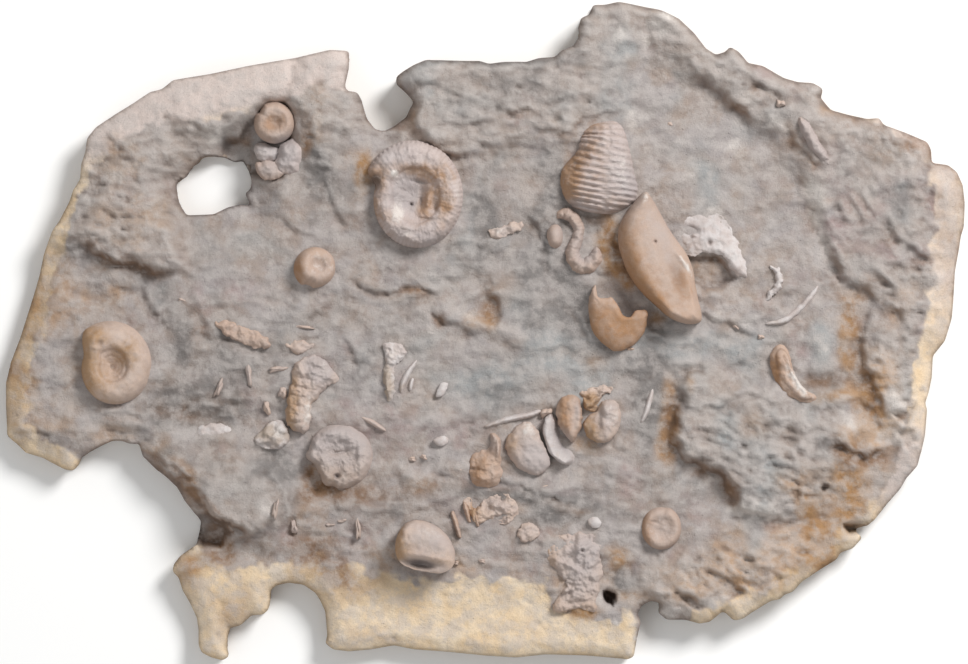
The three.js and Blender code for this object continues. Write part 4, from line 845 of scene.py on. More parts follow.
# Chalky pale on the shells: chalky bloom, and painted light on their lit sides.
SHELL_CHALK_AND_LIGHT = [
    (308, 414, 5, 18, 0.7, 6), (326, 366, 8, 8, 0.4), (500, 230, 8, 5, 0.6), (683, 262, 3, 14, 0.5, -36),
    (798, 384, 8, 20, 0.5, -35), (394, 174, 4, 4, 0.6, 40), (458, 192, 6, 20, 0.35),
    (320, 264, 18, 18, 0.35), (645, 230, 9, 34, 0.2, -8), (661, 528, 20, 20, 0.25),
    (605, 150, 6, 40, 0.25, -3), (622, 172, 10, 30, 0.4), (398, 213, 7, 10, 0.9), (384, 232, 4, 3, 0.6),
    (408, 235, 5, 5, 0.5), (395, 174, 4, 5, 0.5, 30), (799, 380, 7, 20, 0.4, -30), (528, 429, 8, 8, 0.7),
    (611, 415, 9, 18, 0.4), (279, 432, 8, 9, 0.6), (392, 352, 9, 9, 0.5), (688, 270, 2.5, 7, 0.5, -25),
    (645, 197, 5, 6, 0.5), (265, 152, 9, 6, 0.3), (427, 530, 22, 7, 0.35, 20),
]
SHELL_VEILS = [
    (577, 410, 4, 14, 0.8, 5), (545, 462, 10, 10, 0.6), (612, 410, 10, 14, 0.4), (324, 368, 14, 16, 0.9),
    (308, 362, 12, 8, 0.5), (662, 240, 12, 40, 0.5, -20), (505, 232, 20, 10, 0.5), (405, 196, 15, 20, 1),
    (530, 452, 22, 26, 0.7), (434, 536, 20, 14, 0.7, 20), (340, 440, 40, 22, 0.5),
    (565, 232, 20, 18, 0.7), (584, 256, 12, 10, 0.5), (590, 548, 18, 16, 0.6), (574, 590, 24, 24, 0.4),
    (606, 418, 10, 22, 0.5), (268, 152, 16, 10, 0.7), (268, 170, 14, 9, 0.8), (812, 140, 20, 30, 0.5),
    (322, 270, 16, 14, 0.3), (563, 441, 8, 18, 1, -28), (632, 186, 10, 16, 0.9), (576, 206, 14, 8, 0.6),
    (385, 155, 24, 12, 0.5, -20), (430, 238, 26, 14, 0.3), (288, 140, 14, 8, 0.4),
    (421, 563, 16, 5, 0.6, 8), (340, 452, 40, 36, 0.9), (407, 192, 16, 14, 0.8),
    (814, 140, 30, 40, 0.7, -35), (250, 374, 40, 30, 0.5), (316, 515, 60, 30, 0.5),
    (420, 236, 30, 12, 0.5), (398, 158, 24, 12, 0.4, -10), (620, 175, 14, 36, 0.7),
    (588, 250, 16, 22, 0.6), (582, 560, 26, 30, 0.7), (320, 370, 14, 22, 0.6), (288, 156, 12, 16, 1),
    (535, 458, 14, 14, 0.5), (662, 528, 24, 24, 0.5), (600, 240, 10, 10, 0.4), (500, 505, 18, 10, 0.4),
    (528, 532, 12, 10, 0.5), (275, 124, 30, 26, 0.25), (700, 225, 30, 20, 0.4),
    (822, 150, 20, 30, 0.5, -35), (490, 442, 8, 8, 0.6),
]


TO_LIGHT = (0.8, 0.6)  # where the prevailing light comes from: so far right and up the drawing


def weathered_and_shaded(points, masks, shade=0.3):
    """Masks with the stains, the chalk and the veil of grey rock added; the chalk's patches also
    paint light on lit sides. Stains lie in their patches, some of which are painted shade, and
    painted shade, by the share shade, darkens the side turned from the prevailing light."""
    u = points[:, 0] / UNIT + CENTRE[0]
    v = CENTRE[1] - points[:, 1] / UNIT
    reach = max(np.ptp(u), np.ptp(v)) / 2
    middle_u, middle_v = (u.max() + u.min()) / 2, (v.max() + v.min()) / 2
    lee = ((v - middle_v) * TO_LIGHT[1] - (u - middle_u) * TO_LIGHT[0]) / reach
    wander = 0.12 * layers(u, v, 14, 3, seed=84)
    added = {
        # stains and painted shade: the patches, and the side turned from the light
        "stain_and_shade": patches(SHELL_STAINS_AND_SHADE, u, v) + shade * smooth(lee) + wander,
        "chalk_and_light": patches(SHELL_CHALK_AND_LIGHT, u, v),
        "veil": patches(SHELL_VEILS, u, v),
    }
    return {**masks, **{key: np.clip(value, 0, 1) for key, value in added.items()}}


def ring_piece(name, rings, masks):
    """A piece whose skin lies over rings; the masks have a value for each point of the rings."""
    points, quads, caps = ring_skin(rings)
    full = {key: np.concatenate([value.ravel(), [value[0].mean()], [value[-1].mean()]])
            for key, value in masks.items()}
    return new_piece(name, points, [quads, caps], weathered_and_shaded(points, full))


def staggered(low, high, pitch, squash=1):
    """Places of a grid between two corners, with rows squash * pitch apart, every second one moved
    by half a pitch."""
    rows = np.arange(low[1], high[1], pitch * squash)
    u, v = np.meshgrid(np.arange(low[0], high[0], pitch), rows)
    u = u + (np.arange(len(rows)) % 2)[:, None] * pitch / 2
    return np.stack([u.ravel(), v.ravel()], axis=-1)


# ---- the slab ----
def neighbours(values, used):
    """Mean over the used neighbours in the four directions of a grid, and how many there are."""
    padded = np.pad(values, ((1, 1), (1, 1)) + ((0, 0),) * (values.ndim - 2))
    flags = np.pad(used, 1).astype(float)
    total, count = 0, 0
    before, after, beside_it = (0, -2), (2, None), (1, -1)
    ways = ((before, beside_it), (after, beside_it), (beside_it, before), (beside_it, after))
    for rows, columns in ways:
        flag = flags[slice(*rows), slice(*columns)]
        value = padded[slice(*rows), slice(*columns)]
        total = total + value * (flag[..., None] if values.ndim > 2 else flag)
        count = count + flag
    count = np.maximum(count, 1)
    return total / (count[..., None] if values.ndim > 2 else count), count


def slab_cells():
    """Grid points over the slab, and which cells between them lie in the rock, with no two cells
    that meet at a corner alone."""
    columns = np.arange(0, UNITS_ACROSS + 10, PITCH)
    rows = np.arange(0, UNITS_DOWN + 6, PITCH)
    u, v = np.meshgrid(columns, rows)
    inside = edge_distance(u, v)[0] > -0.4 * PITCH
    cells = inside[:-1, :-1] & inside[1:, :-1] & inside[:-1, 1:] & inside[1:, 1:]
    for _ in range(4):
        a, b, c, d = cells[:-1, :-1], cells[:-1, 1:], cells[1:, :-1], cells[1:, 1:]
        falling = a & d & ~b & ~c
        rising = b & c & ~a & ~d
        cells[:-1, :-1] &= ~falling
        cells[:-1, 1:] &= ~rising
    return u, v, cells


def directed_rim(quads):
    """Directed edges that only one face has, in the direction of that face."""
    starts = quads.ravel()
    ends = np.roll(quads, -1, axis=1).ravel()
    span = starts.max() + 1
    forward, back = starts * span + ends, ends * span + starts
    alone = ~np.isin(forward, back)
    return starts[alone], ends[alone]


def links(starts, ends, count):
    """For each of a rim's points the number of the next one and of the one before; else -1."""
    after, before = np.full((2, count), -1)
    after[starts], before[ends] = ends, starts
    return after, before


def slab_surface():
    """Points (u, v) and faces of the slab's upper skin, and its rim.

    Cells of a square grid are kept inside the outline. The points of the rim are drawn on to the
    outline, evened along it, and the points behind them are evened towards their neighbours."""
    u, v, cells = slab_cells()
    row, column = np.nonzero(cells)
    across = u.shape[1]
    corner = row * across + column
    quads = np.stack([corner, corner + across, corner + across + 1, corner + 1], axis=-1)
    starts, ends = directed_rim(quads)
    used = np.zeros(u.size, bool)
    used[quads.ravel()] = True
    on_rim = np.zeros(u.size, bool)
    on_rim[starts] = True
    spots = np.stack([u.ravel(), v.ravel()], axis=-1)
    rim = np.flatnonzero(on_rim)
    after, before = links(starts, ends, u.size)
    for _ in range(6):
        spots[rim] = edge_distance(spots[rim, 0], spots[rim, 1])[1]
        spots[rim] = 0.5 * spots[rim] + 0.25 * (spots[after[rim]] + spots[before[rim]])
    grid = spots.reshape(u.shape + (2,))
    used_grid = used.reshape(u.shape)
    free = (used & ~on_rim).reshape(u.shape)
    near_rim = on_rim.reshape(u.shape)
    for _ in range(4):
        near_rim = near_rim | (neighbours(near_rim.astype(float), used_grid)[0] > 0)
    for _ in range(12):
        evened = neighbours(grid, used_grid)[0]
        grid = np.where((free & near_rim)[..., None], evened, grid)
    spots = grid.reshape(-1, 2)
    ids = np.cumsum(used) - 1
    return spots[used], ids[quads], ids[starts], ids[ends], used_grid


def underside(spots, starts, ends):
    """The points of the rim and their order, more points inside it, and the faces between them that
    close the slab's underside.

    The points inside lie on a staggered grid well inside the outline and are joined to the rim in
    the triangulation that keeps the rim's edges."""
    rim = np.unique(starts)
    order = np.full(len(spots), -1)
    order[rim] = np.arange(len(rim))
    inner = staggered((0, 0), (UNITS_ACROSS + 10, UNITS_DOWN + 10), UNDERSIDE_PITCH)
    inner = inner[edge_distance(*inner.T)[0] > 0.6 * UNDERSIDE_PITCH]
    plan = np.concatenate([spots[rim], inner])
    edges = np.stack([order[starts], order[ends]], axis=-1)
    flat = [(a, -b) for a, b in plan.tolist()]
    _, _, faces, origins, _, _ = delaunay_2d_cdt(flat, edges.tolist(), [], 2, 1e-9)
    index = np.array([origin[0] for origin in origins])
    faces = index[np.array([face[:] for face in faces])]
    middles = plan[faces].mean(axis=1)
    return rim, order, inner, faces[edge_distance(*middles.T)[0] > 0]


def slab():
    """The slab: its upper skin from rock(), a rough broken wall down from the rim, and a flat
    underside with shallow scars. The wall goes in by noise from the rim's own place, never out."""
    spots, quads, starts, ends, used = slab_surface()
    u, v = spots.T
    from_edge = np.maximum(edge_distance(u, v)[0], 0)
    height, crust, rind, step_shade = rock(u, v, from_edge)
    masks = rock_masks(u, v, height, crust, rind, step_shade, used, from_edge)

    rim, order, inner, cap = underside(spots, starts, ends)
    after, before = links(starts, ends, len(spots))
    along = spots[after[rim]] - spots[before[rim]]
    for _ in range(5):
        along = along + along[order[after[rim]]] + along[order[before[rim]]]
    inward = np.stack([along[:, 1], -along[:, 0]], axis=-1)
    inward = inward / np.linalg.norm(inward, axis=1, keepdims=True)
    levels = []
    top = height[rim]
    for level in range(1, WALL_LEVELS + 1):
        t = level / WALL_LEVELS
        z = top * (1 - t)
        bands = noise(spots[rim, 0] + 1.3 * spots[rim, 1], z * 6, 9, seed=61)
        chunks = layers(spots[rim, 0], spots[rim, 1] + 5 * z, 16, 3, seed=62)
        back = WALL_BACK + WALL_BANDS * bands + WALL_CHUNKS * chunks + WALL_HOLLOW * t * (1 - t)
        levels.append((spots[rim] + inward * np.clip(back, 0, WALL_DEEPEST)[:, None], z))
    count = len(spots)
    ring = np.arange(len(rim))
    point_ids = [rim] + [count + level * len(rim) + ring for level in range(WALL_LEVELS)]
    walls = []
    lead, follow = order[starts], order[ends]
    for upper, lower in zip(point_ids, point_ids[1:]):
        walls.append(np.stack([upper[follow], upper[lead], lower[lead], lower[follow]], axis=-1))
    scars = SCAR_DEPTH * np.maximum(layers(inner[:, 0], inner[:, 1], 60, 3, seed=71), 0) ** 2
    base = count + (WALL_LEVELS - 1) * len(rim)
    cap = (base + cap)[:, ::-1]

    plan = np.concatenate([spots] + [ring_spots for ring_spots, _ in levels] + [inner])
    z = np.concatenate([height] + [ring_z for _, ring_z in levels] + [scars])
    below = len(plan) - count
    full = {key: np.concatenate([value, np.tile(value[rim], WALL_LEVELS), np.zeros(len(inner))])
            for key, value in masks.items()}
    full["wall"] = np.concatenate([np.zeros(count), np.ones(below)])
    points = place(plan[:, 0], plan[:, 1], z)
    points = np.clip(points, np.array(SLAB_LOW), np.array(SLAB_HIGH))
    return new_piece("rock", points, [quads] + walls + [cap], full)


# ---- fossils ----
SEAM_WIDTH = 0.07  # of the groove between two whorls, as a share of a whorl's width
RIB_SWELL = 0.012  # how far a rib bulges the edge, as a share of its radius
SKIRT = 0.9  # share of its breadth to which a coil's skin narrows below the rock


def node_top(name):
    """Height in mm of the highest point of a CAD node."""
    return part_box(name)[1][2] / MM


def spline(points, count, closed=False):
    """Points on a Catmull-Rom curve: between two given points, the cubic whose slopes there are
    half the step from the point before to the point after."""
    points = np.asarray(points, float)
    spans = len(points) - (0 if closed else 1)
    if closed:
        padded = np.concatenate([points[-1:], points, points[:2]])
    else:
        padded = np.concatenate([2 * points[:1] - points[1:2], points, 2 * points[-1:] - points[-2:-1]])
    t = np.linspace(0, spans, count, endpoint=not closed)
    span = np.minimum(t.astype(int), spans - 1)
    s = (t - span)[:, None]
    a, b, c, d = (padded[span + k] for k in range(4))
    return b + 0.5 * s * (c - a + s * (2 * a - 5 * b + 4 * c - d + s * (3 * (b - c) + d - a)))


def leaning(points, pivot, tilt, towards):
    """Points turned by tilt degrees about a level line through the pivot, so that the side that
    lies towards a bearing on the drawing goes down (Rodrigues' formula)."""
    bearing = np.radians(towards + 90)
    axis = np.array([np.cos(bearing), -np.sin(bearing), 0])
    c, s = np.cos(np.radians(-tilt)), np.sin(np.radians(-tilt))
    arm = points - pivot
    along = (arm @ axis)[..., None] * axis
    return pivot + arm * c + np.cross(axis, arm) * s + along * (1 - c)


def settled(name, points):
    """Points shifted up or down so that the highest is as high as the CAD node's highest."""
    points[..., 2] += node_top(name) * MM - points[..., 2].max()
    return points


def coil(name, at, reach, growth, mouth, rise, stretch=(1, 1), hub=0.45, slope=0.6, bowl=0.6,
         dish=0.3, groove=0.05, crest=0.45, slant=0.06, ribs=0, rib_height=0, rib_bend=0.25, rough=0.12,
         soft=0.8, bites=(), bumps=(), around=180, levels=60, tilt=0, towards=0):
    """A coiled shell on a grid of rings and bearings.

    Its edge is a spiral, R = reach / growth^turn, less a bell for each bite; over the last share of
    the turn, slant, it comes back out to the mouth. A place at radius r belongs to the whorl whose
    own edge R_n = R / growth^n is the last with hub * R_n inside r. Across a whorl the height is
    two quarter ellipses, up from nothing at its edge to the crest and down to the seam, times
    (R_n / R)^slope; the softer the shell, the more its inner whorls are one plain dish. Seams are
    grooves, bells of the depth groove. The middle sinks by the share dish, times
    (1 - (r / (bowl * R))^2)^1.5. Ribs are a cosine of the bearing that bends forward towards the
    edge. A tilt in degrees lowers the side that lies towards a bearing."""
    turn = (np.arange(around) / around)[None, :]
    bearing = mouth + 360 * turn
    wound = turn * (1 - smooth((turn - 1 + slant) / slant))
    share = np.sin(np.linspace(0.03, 1, levels) * np.pi / 2)[:, None]
    edge = reach * growth ** -wound
    for centre, width, depth in bites:
        off = (bearing - centre + 180) % 360 - 180
        edge = edge * (1 - depth * smooth(1.5 - np.abs(off) / width))
    mean = edge.mean()
    radius = share * (mean + (edge - mean) * share ** 2)
    whorl = np.maximum(0, np.ceil(np.log(hub * edge / radius) / np.log(growth)))
    own_edge = edge * growth ** -whorl
    across = np.clip((own_edge - radius) / (own_edge * (1 - hub)), 0, 1)
    shown = min((1 - hub * growth) / (1 - hub), 0.95)
    fall = growth ** -slope
    if shown > crest:
        rest = np.sqrt(1 - ((shown - crest) / (1 - crest)) ** 2)
        seam = rest * fall / (1 - (1 - rest) * fall)
    else:
        seam = fall * np.sqrt(1 - ((crest - shown) / crest) ** 2)
    out = np.sqrt(np.clip(1 - ((crest - across) / crest) ** 2, 0, 1))
    inwards = np.sqrt(np.clip(1 - ((across - crest) / (1 - crest)) ** 2, 0, 1))
    profile = np.where(across < crest, out, seam + (1 - seam) * inwards)
    worn_flat = soft * (whorl > 0)
    seams = (1 - worn_flat) * np.exp(-((across - 1) / SEAM_WIDTH) ** 2)
    seams = seams + 0.6 * (1 - soft) * (whorl > 0) * np.exp(-((across - shown) / SEAM_WIDTH) ** 2)
    whorls = profile * (own_edge / edge) ** slope
    whorls = whorls + worn_flat * (seam * (0.85 + 0.15 * (radius / (hub * edge)) ** 2) - whorls)
    sunk = np.clip(1 - (radius / (bowl * edge)) ** 2, 0, 1) ** 1.5
    height = (whorls - groove * seams) * (1 - dish * sunk)
    rib = np.cos(2 * np.pi * (ribs * turn - rib_bend * (1 - across))) if ribs else 0 * radius
    worn = 0.55 + 0.45 * smooth(0.5 + 1.2 * noise(40 * turn + 0 * radius, 9 * share, 9, seed=86))
    rib = rib * worn * smooth(across / 0.1 + 0.3) * (0.35 + 0.65 * smooth((0.6 - across) / 0.4))
    rib = rib * smooth((1.05 - across) / 0.3) * (1 - worn_flat)
    z = rise * height * (1 - 0.25 * wound * share ** 2) + rib_height * rib
    spread = radius * (1 + RIB_SWELL * rib * (share > 0.96))
    u = at[0] + spread * stretch[0] * np.cos(np.radians(bearing))
    v = at[1] + spread * stretch[1] * np.sin(np.radians(bearing))
    z = z + rough * (layers(u, v, 7, 4, seed=81) + 1.5 * layers(u, v, 20, 2, seed=82))
    dents = patches(bumps, u, v)
    z = z + dents
    skirt_u, skirt_v = u[-1:], v[-1:]
    u = np.concatenate([u, skirt_u, at[0] + SKIRT * (skirt_u - at[0])])
    v = np.concatenate([v, skirt_v, at[1] + SKIRT * (skirt_v - at[1])])
    z = np.concatenate([z, np.full((1, around), -0.3 * BURIED), np.full((1, around), -BURIED)])
    rings = place(u, v, z)
    if tilt:
        pivot = place(np.array(float(at[0])), np.array(float(at[1])), 0.0)
        rings = leaning(rings, pivot, tilt, towards)
    rings = settled(name, rings)
    tail = np.zeros((2, around))
    masks = {
        "ridge": np.concatenate([0.5 + 0.25 * rib, tail + 0.5]),
        # dirt and painted shade in the seams and dents
        "hollow_dirt_and_shade": np.concatenate([np.clip(2.5 * groove * seams - 0.7 * dents, 0, 1), tail]),
    }
    return ring_piece(name + "_skin", rings, masks)


def sheet(edge, pitch):
    """Points and triangles that fill an outline: the outline, two rows just inside it, and a
    staggered grid further in, joined in the triangulation that keeps the outline."""
    ahead, behind = np.roll(edge, -1, axis=0), np.roll(edge, 1, axis=0)
    along = ahead - behind
    for _ in range(3):
        along = along + np.roll(along, 1, axis=0) + np.roll(along, -1, axis=0)
    inward = np.stack([-along[:, 1], along[:, 0]], axis=-1)
    inward = inward / np.maximum(np.linalg.norm(inward, axis=1, keepdims=True), 1e-9)
    area = (edge[:, 0] * ahead[:, 1] - ahead[:, 0] * edge[:, 1]).sum()
    inward = inward * np.sign(area)
    inner = staggered(edge.min(axis=0), edge.max(axis=0), pitch, 0.87)
    plan = [edge, inner[outline_distance(edge, *inner.T) > 1.25 * pitch]]
    for depth in (0.25, 0.7):
        row = edge + inward * depth * pitch
        plan.append(row[outline_distance(edge, *row.T) > 0.8 * depth * pitch])
    plan = np.concatenate(plan)
    ring = np.arange(len(edge))
    sides = np.stack([ring, np.roll(ring, -1)], axis=-1)
    found, _, faces, _, _, _ = delaunay_2d_cdt(plan.tolist(), sides.tolist(), [], 2, 1e-7)
    plan = np.array([point[:] for point in found])
    faces = np.array([face[:] for face in faces])
    middles = plan[faces].mean(axis=1)
    return plan, faces[outline_distance(edge, *middles.T) > 0]


def mound(name, outline, crown, rise, rim, rough=0.15, ragged=0.5, lines=0, line_height=0.08,
          sides=(), bumps=(), bulge=0.5, pitch=1.1):
    """A rounded shell inside an outline that noise makes ragged. The share of the way in at a place
    is its distance from the outline over the sum of that and its distance from the crown, and the
    height climbs from the rim to the rise as (1 - (1 - share)^2)^bulge. Sides give other rims and
    bulges where a place lies on a bearing from the crown. Growth lines are a sine of the share."""
    edge = spline(outline, int(6 * np.sqrt(len(outline)) + 90 / pitch), closed=True)
    edge = edge + ragged * np.stack([layers(*edge.T, 6, 3, seed=seed) for seed in (91, 92)], axis=-1)
    plan, faces = sheet(edge, pitch)
    u, v = plan.T
    inside = np.maximum(outline_distance(edge, u, v), 0)
    crown = np.asarray(crown, float)
    back_and_forth = np.concatenate([crown, crown[-2:0:-1]]) if len(crown) > 1 else crown
    peak = side_distance(back_and_forth, np.roll(back_and_forth, -1, axis=0) + [0, 1e-6], u, v)[1]
    off = plan - peak
    share = inside / (inside + np.linalg.norm(off, axis=1) + 1e-6)
    facing = np.degrees(np.arctan2(off[:, 1], off[:, 0]))
    rims, bulges = np.full(len(u), float(rim)), np.full(len(u), float(bulge))
    for bearing, width, side_rim, side_bulge in sides:
        weight = smooth(1.5 - np.abs((facing - bearing + 180) % 360 - 180) / width)
        rims = rims + (side_rim - rims) * weight
        bulges = bulges + (side_bulge - bulges) * weight
    climb = (1 - (1 - share) ** 2) ** bulges
    wave = np.sin(2 * np.pi * lines * (share + 0.03 * noise(u, v, 16, seed=93))) * (lines > 0)
    inland = smooth(inside / 1.5)
    z = rims + (rise - rims) * climb + line_height * wave * smooth((1 - share) / 0.3)
    z = z + rough * (layers(u, v, 8, 4, seed=94) + 1.2 * layers(u, v, 22, 2, seed=96)) * inland
    dents = patches(bumps, u, v) * inland
    z = z + dents
    top = settled(name, place(u, v, node_top(name) - rise + z))
    base = place(u, v, node_top(name) - rise - BURIED)
    starts, ends = directed_rim(faces)
    count = len(plan)
    walls = np.stack([ends, starts, count + starts, count + ends], axis=-1)
    points = np.concatenate([top, base])
    masks = {
        "ridge": np.concatenate([0.5 + 0.5 * wave, np.full(count, 0.5)]),
        # dirt and painted shade in the dents
        "hollow_dirt_and_shade": np.concatenate([np.clip(-0.4 * dents, 0, 1), np.zeros(count)]),
    }
    faces = faced_out(points, walls, np.concatenate([faces, count + faces[:, ::-1]]))
    return new_piece(name + "_skin", points, faces, weathered_and_shaded(points, masks))


def strand(name, path, half, rise, rough=0.12, rings=0, ring_height=(0, 0), bend=(0, 0), furrow=0.0,
           ribbed=99, blunt=6, around=32, steps=90, bumps=(), ragged=0.0):
    """A long shell on a grid carried along a path: an oval section as high as rise and half as wide
    as half there, on the right hand of the path as on its left or with a number for each, with a
    furrow along its crest and rings round it. The rings bend by so many of their spacings towards
    each side and die out at the distance ribbed. Both ends close as (1 - |2t - 1|^blunt)^(1/2)."""
    course = spline(path, steps)
    half = np.asarray(half, float)
    half = np.stack([half, half], axis=-1) if half.ndim == 1 else half
    size = spline(np.column_stack([half, rise]), steps)
    along = np.gradient(course, axis=0)
    along = along / np.linalg.norm(along, axis=1, keepdims=True)
    t = np.linspace(0, 1, steps)[:, None]
    angle = 2 * np.pi * (np.arange(around) + 0.5) / around
    side, up = np.cos(angle)[None, :], np.sin(angle)[None, :]
    close = np.sqrt(np.clip(1 - np.abs(2 * t - 1) ** blunt, 0.02, 1))
    across = np.where(side > 0, size[:, :1], size[:, 1:2]) * side * close
    turns = rings * t - np.where(side > 0, bend[0], bend[1]) * np.abs(side)
    wave = np.cos(2 * np.pi * turns) * (rings > 0) * smooth(t / 0.04) * smooth((1 - t) / 0.04)
    wave = wave * smooth((ribbed - np.abs(across)) / 5)
    ring = np.where(side > 0, ring_height[0], ring_height[1]) * wave
    across = across * (1 + 0.3 * ring / size[:, 2:])
    u = course[:, :1] - along[:, 1:] * across
    v = course[:, 1:] + along[:, :1] * across
    u = u + ragged * layers(u, v, 5, 3, seed=97)
    v = v + ragged * layers(u, v, 5, 3, seed=98)
    crest = np.exp(-(side / 0.13) ** 2)
    above = up > 0
    z = np.where(above, size[:, 2:] * up * close, BURIED * 0.7 * up)
    z = z + above * (ring * (1 - crest) - furrow * crest)
    dents = above * patches(bumps, u, v)
    z = z + above * rough * layers(u, v, 6, 4, seed=95) + dents
    stops = np.linspace(0, steps - 1, 9).astype(int)
    floor_line = np.array([bed(*course[stop]) for stop in stops])
    base = np.interp(np.arange(steps), stops, floor_line)[:, None]
    grid = settled(name, place(u, v, base + z))
    masks = {
        "ridge": np.where(above, 0.5 + np.clip(1.6 * ring, -0.5, 0.5), 0.5) + 0 * z,
        # dirt and painted shade in the furrow and dents
        "hollow_dirt_and_shade": np.clip(0.15 * furrow * crest * above - 0.4 * dents, 0, 1),
    }
    return ring_piece(name + "_skin", grid, masks)


# Small flakes and pegs of shell: place, half length and half width in units, degrees clockwise,
# rise in mm.
CHIPS = [
    (303, 327, 11, 1.6, 5, 0.7), (278, 369, 10, 3, -8, 1.2), (249, 374, 13, 3, 85, 1.2),
    (267, 408, 8, 3.5, 80, 1.6), (283, 392, 7, 4.5, 100, 1.6), (412, 459, 4, 2.6, 0, 1),
    (424, 457, 4, 2.6, 20, 1), (459, 469, 4, 3, 0, 1.4), (780, 104, 5, 4, 0, 2),
    (219, 388, 10, 3, -68, 1.6), (531, 484, 5, 2, 10, 0.9), (544, 487, 5, 2, 0, 0.9),
    (728, 319, 4, 2, 15, 0.8), (736, 327, 4, 1.6, 30, 0.8), (761, 337, 3.5, 2.4, 0, 0.9),
    (630, 349, 4, 2, 10, 0.9), (425, 262, 3.5, 1.6, 20, 0.8), (294, 527, 8, 3.2, 80, 1.8),
    (358, 528, 13, 2.8, 85, 1.9), (276, 509, 10, 3, -80, 1.4), (182, 300, 4, 2, 10, 0.9),
    (330, 525, 5, 1.6, 0, 0.8), (342, 521, 5, 1.6, -10, 0.8), (456, 563, 3, 2, 0, 0.8),
    (482, 561, 3.5, 2, 10, 0.8), (670, 124, 3, 2, 0, 0.6), (546, 412.5, 7, 4, -25, 2.2),
]


def chips():
    """All the small flakes as one mesh: each is a grid of rings and bearings over a rounded oblong,
    1 / (|cos|^4 + |sin|^4)^(1/4), uneven by sines, with a flat-topped height, 1 - r^4."""
    levels, around = 6, 14
    spread = np.linspace(1, 0.12, levels)[:, None]
    bearing = 2 * np.pi * np.arange(around)[None, :] / around
    points, quads, caps, count = [], [], [], 0
    for number, (u, v, long, wide, turn, rise) in enumerate(CHIPS):
        uneven = 1 + 0.17 * np.sin(3 * bearing + number) + 0.14 * np.sin(5 * bearing + 2.3 * number)
        uneven = 0.88 * uneven / (np.cos(bearing) ** 4 + np.sin(bearing) ** 4) ** 0.25
        a, b = long * spread * uneven * np.cos(bearing), wide * spread * uneven * np.sin(bearing)
        c, s = np.cos(np.radians(turn)), np.sin(np.radians(turn))
        wave = 0.25 * rise * uneven * np.sin(2 * bearing + number)
        z = bed(u, v) + 0.7 * rise * (1 - spread ** 4) + 0.25 * rise + wave
        plan = u + a * c - b * s, v + a * s + b * c
        skirt = place(plan[0][:1], plan[1][:1], z[:1] - 2.5)
        rings = np.concatenate([skirt, place(*plan, z)])
        flake, sides, ends = ring_skin(rings)
        points.append(flake)
        quads.append(sides + count)
        caps.append(ends + count)
        count += len(flake)
    points = np.concatenate(points)
    none = np.zeros(len(points))
    masks = weathered_and_shaded(points, {"ridge": none + 0.5, "hollow_dirt_and_shade": none}, shade=0)
    return new_piece("shell_chips", points, [np.concatenate(quads), np.concatenate(caps)], masks)


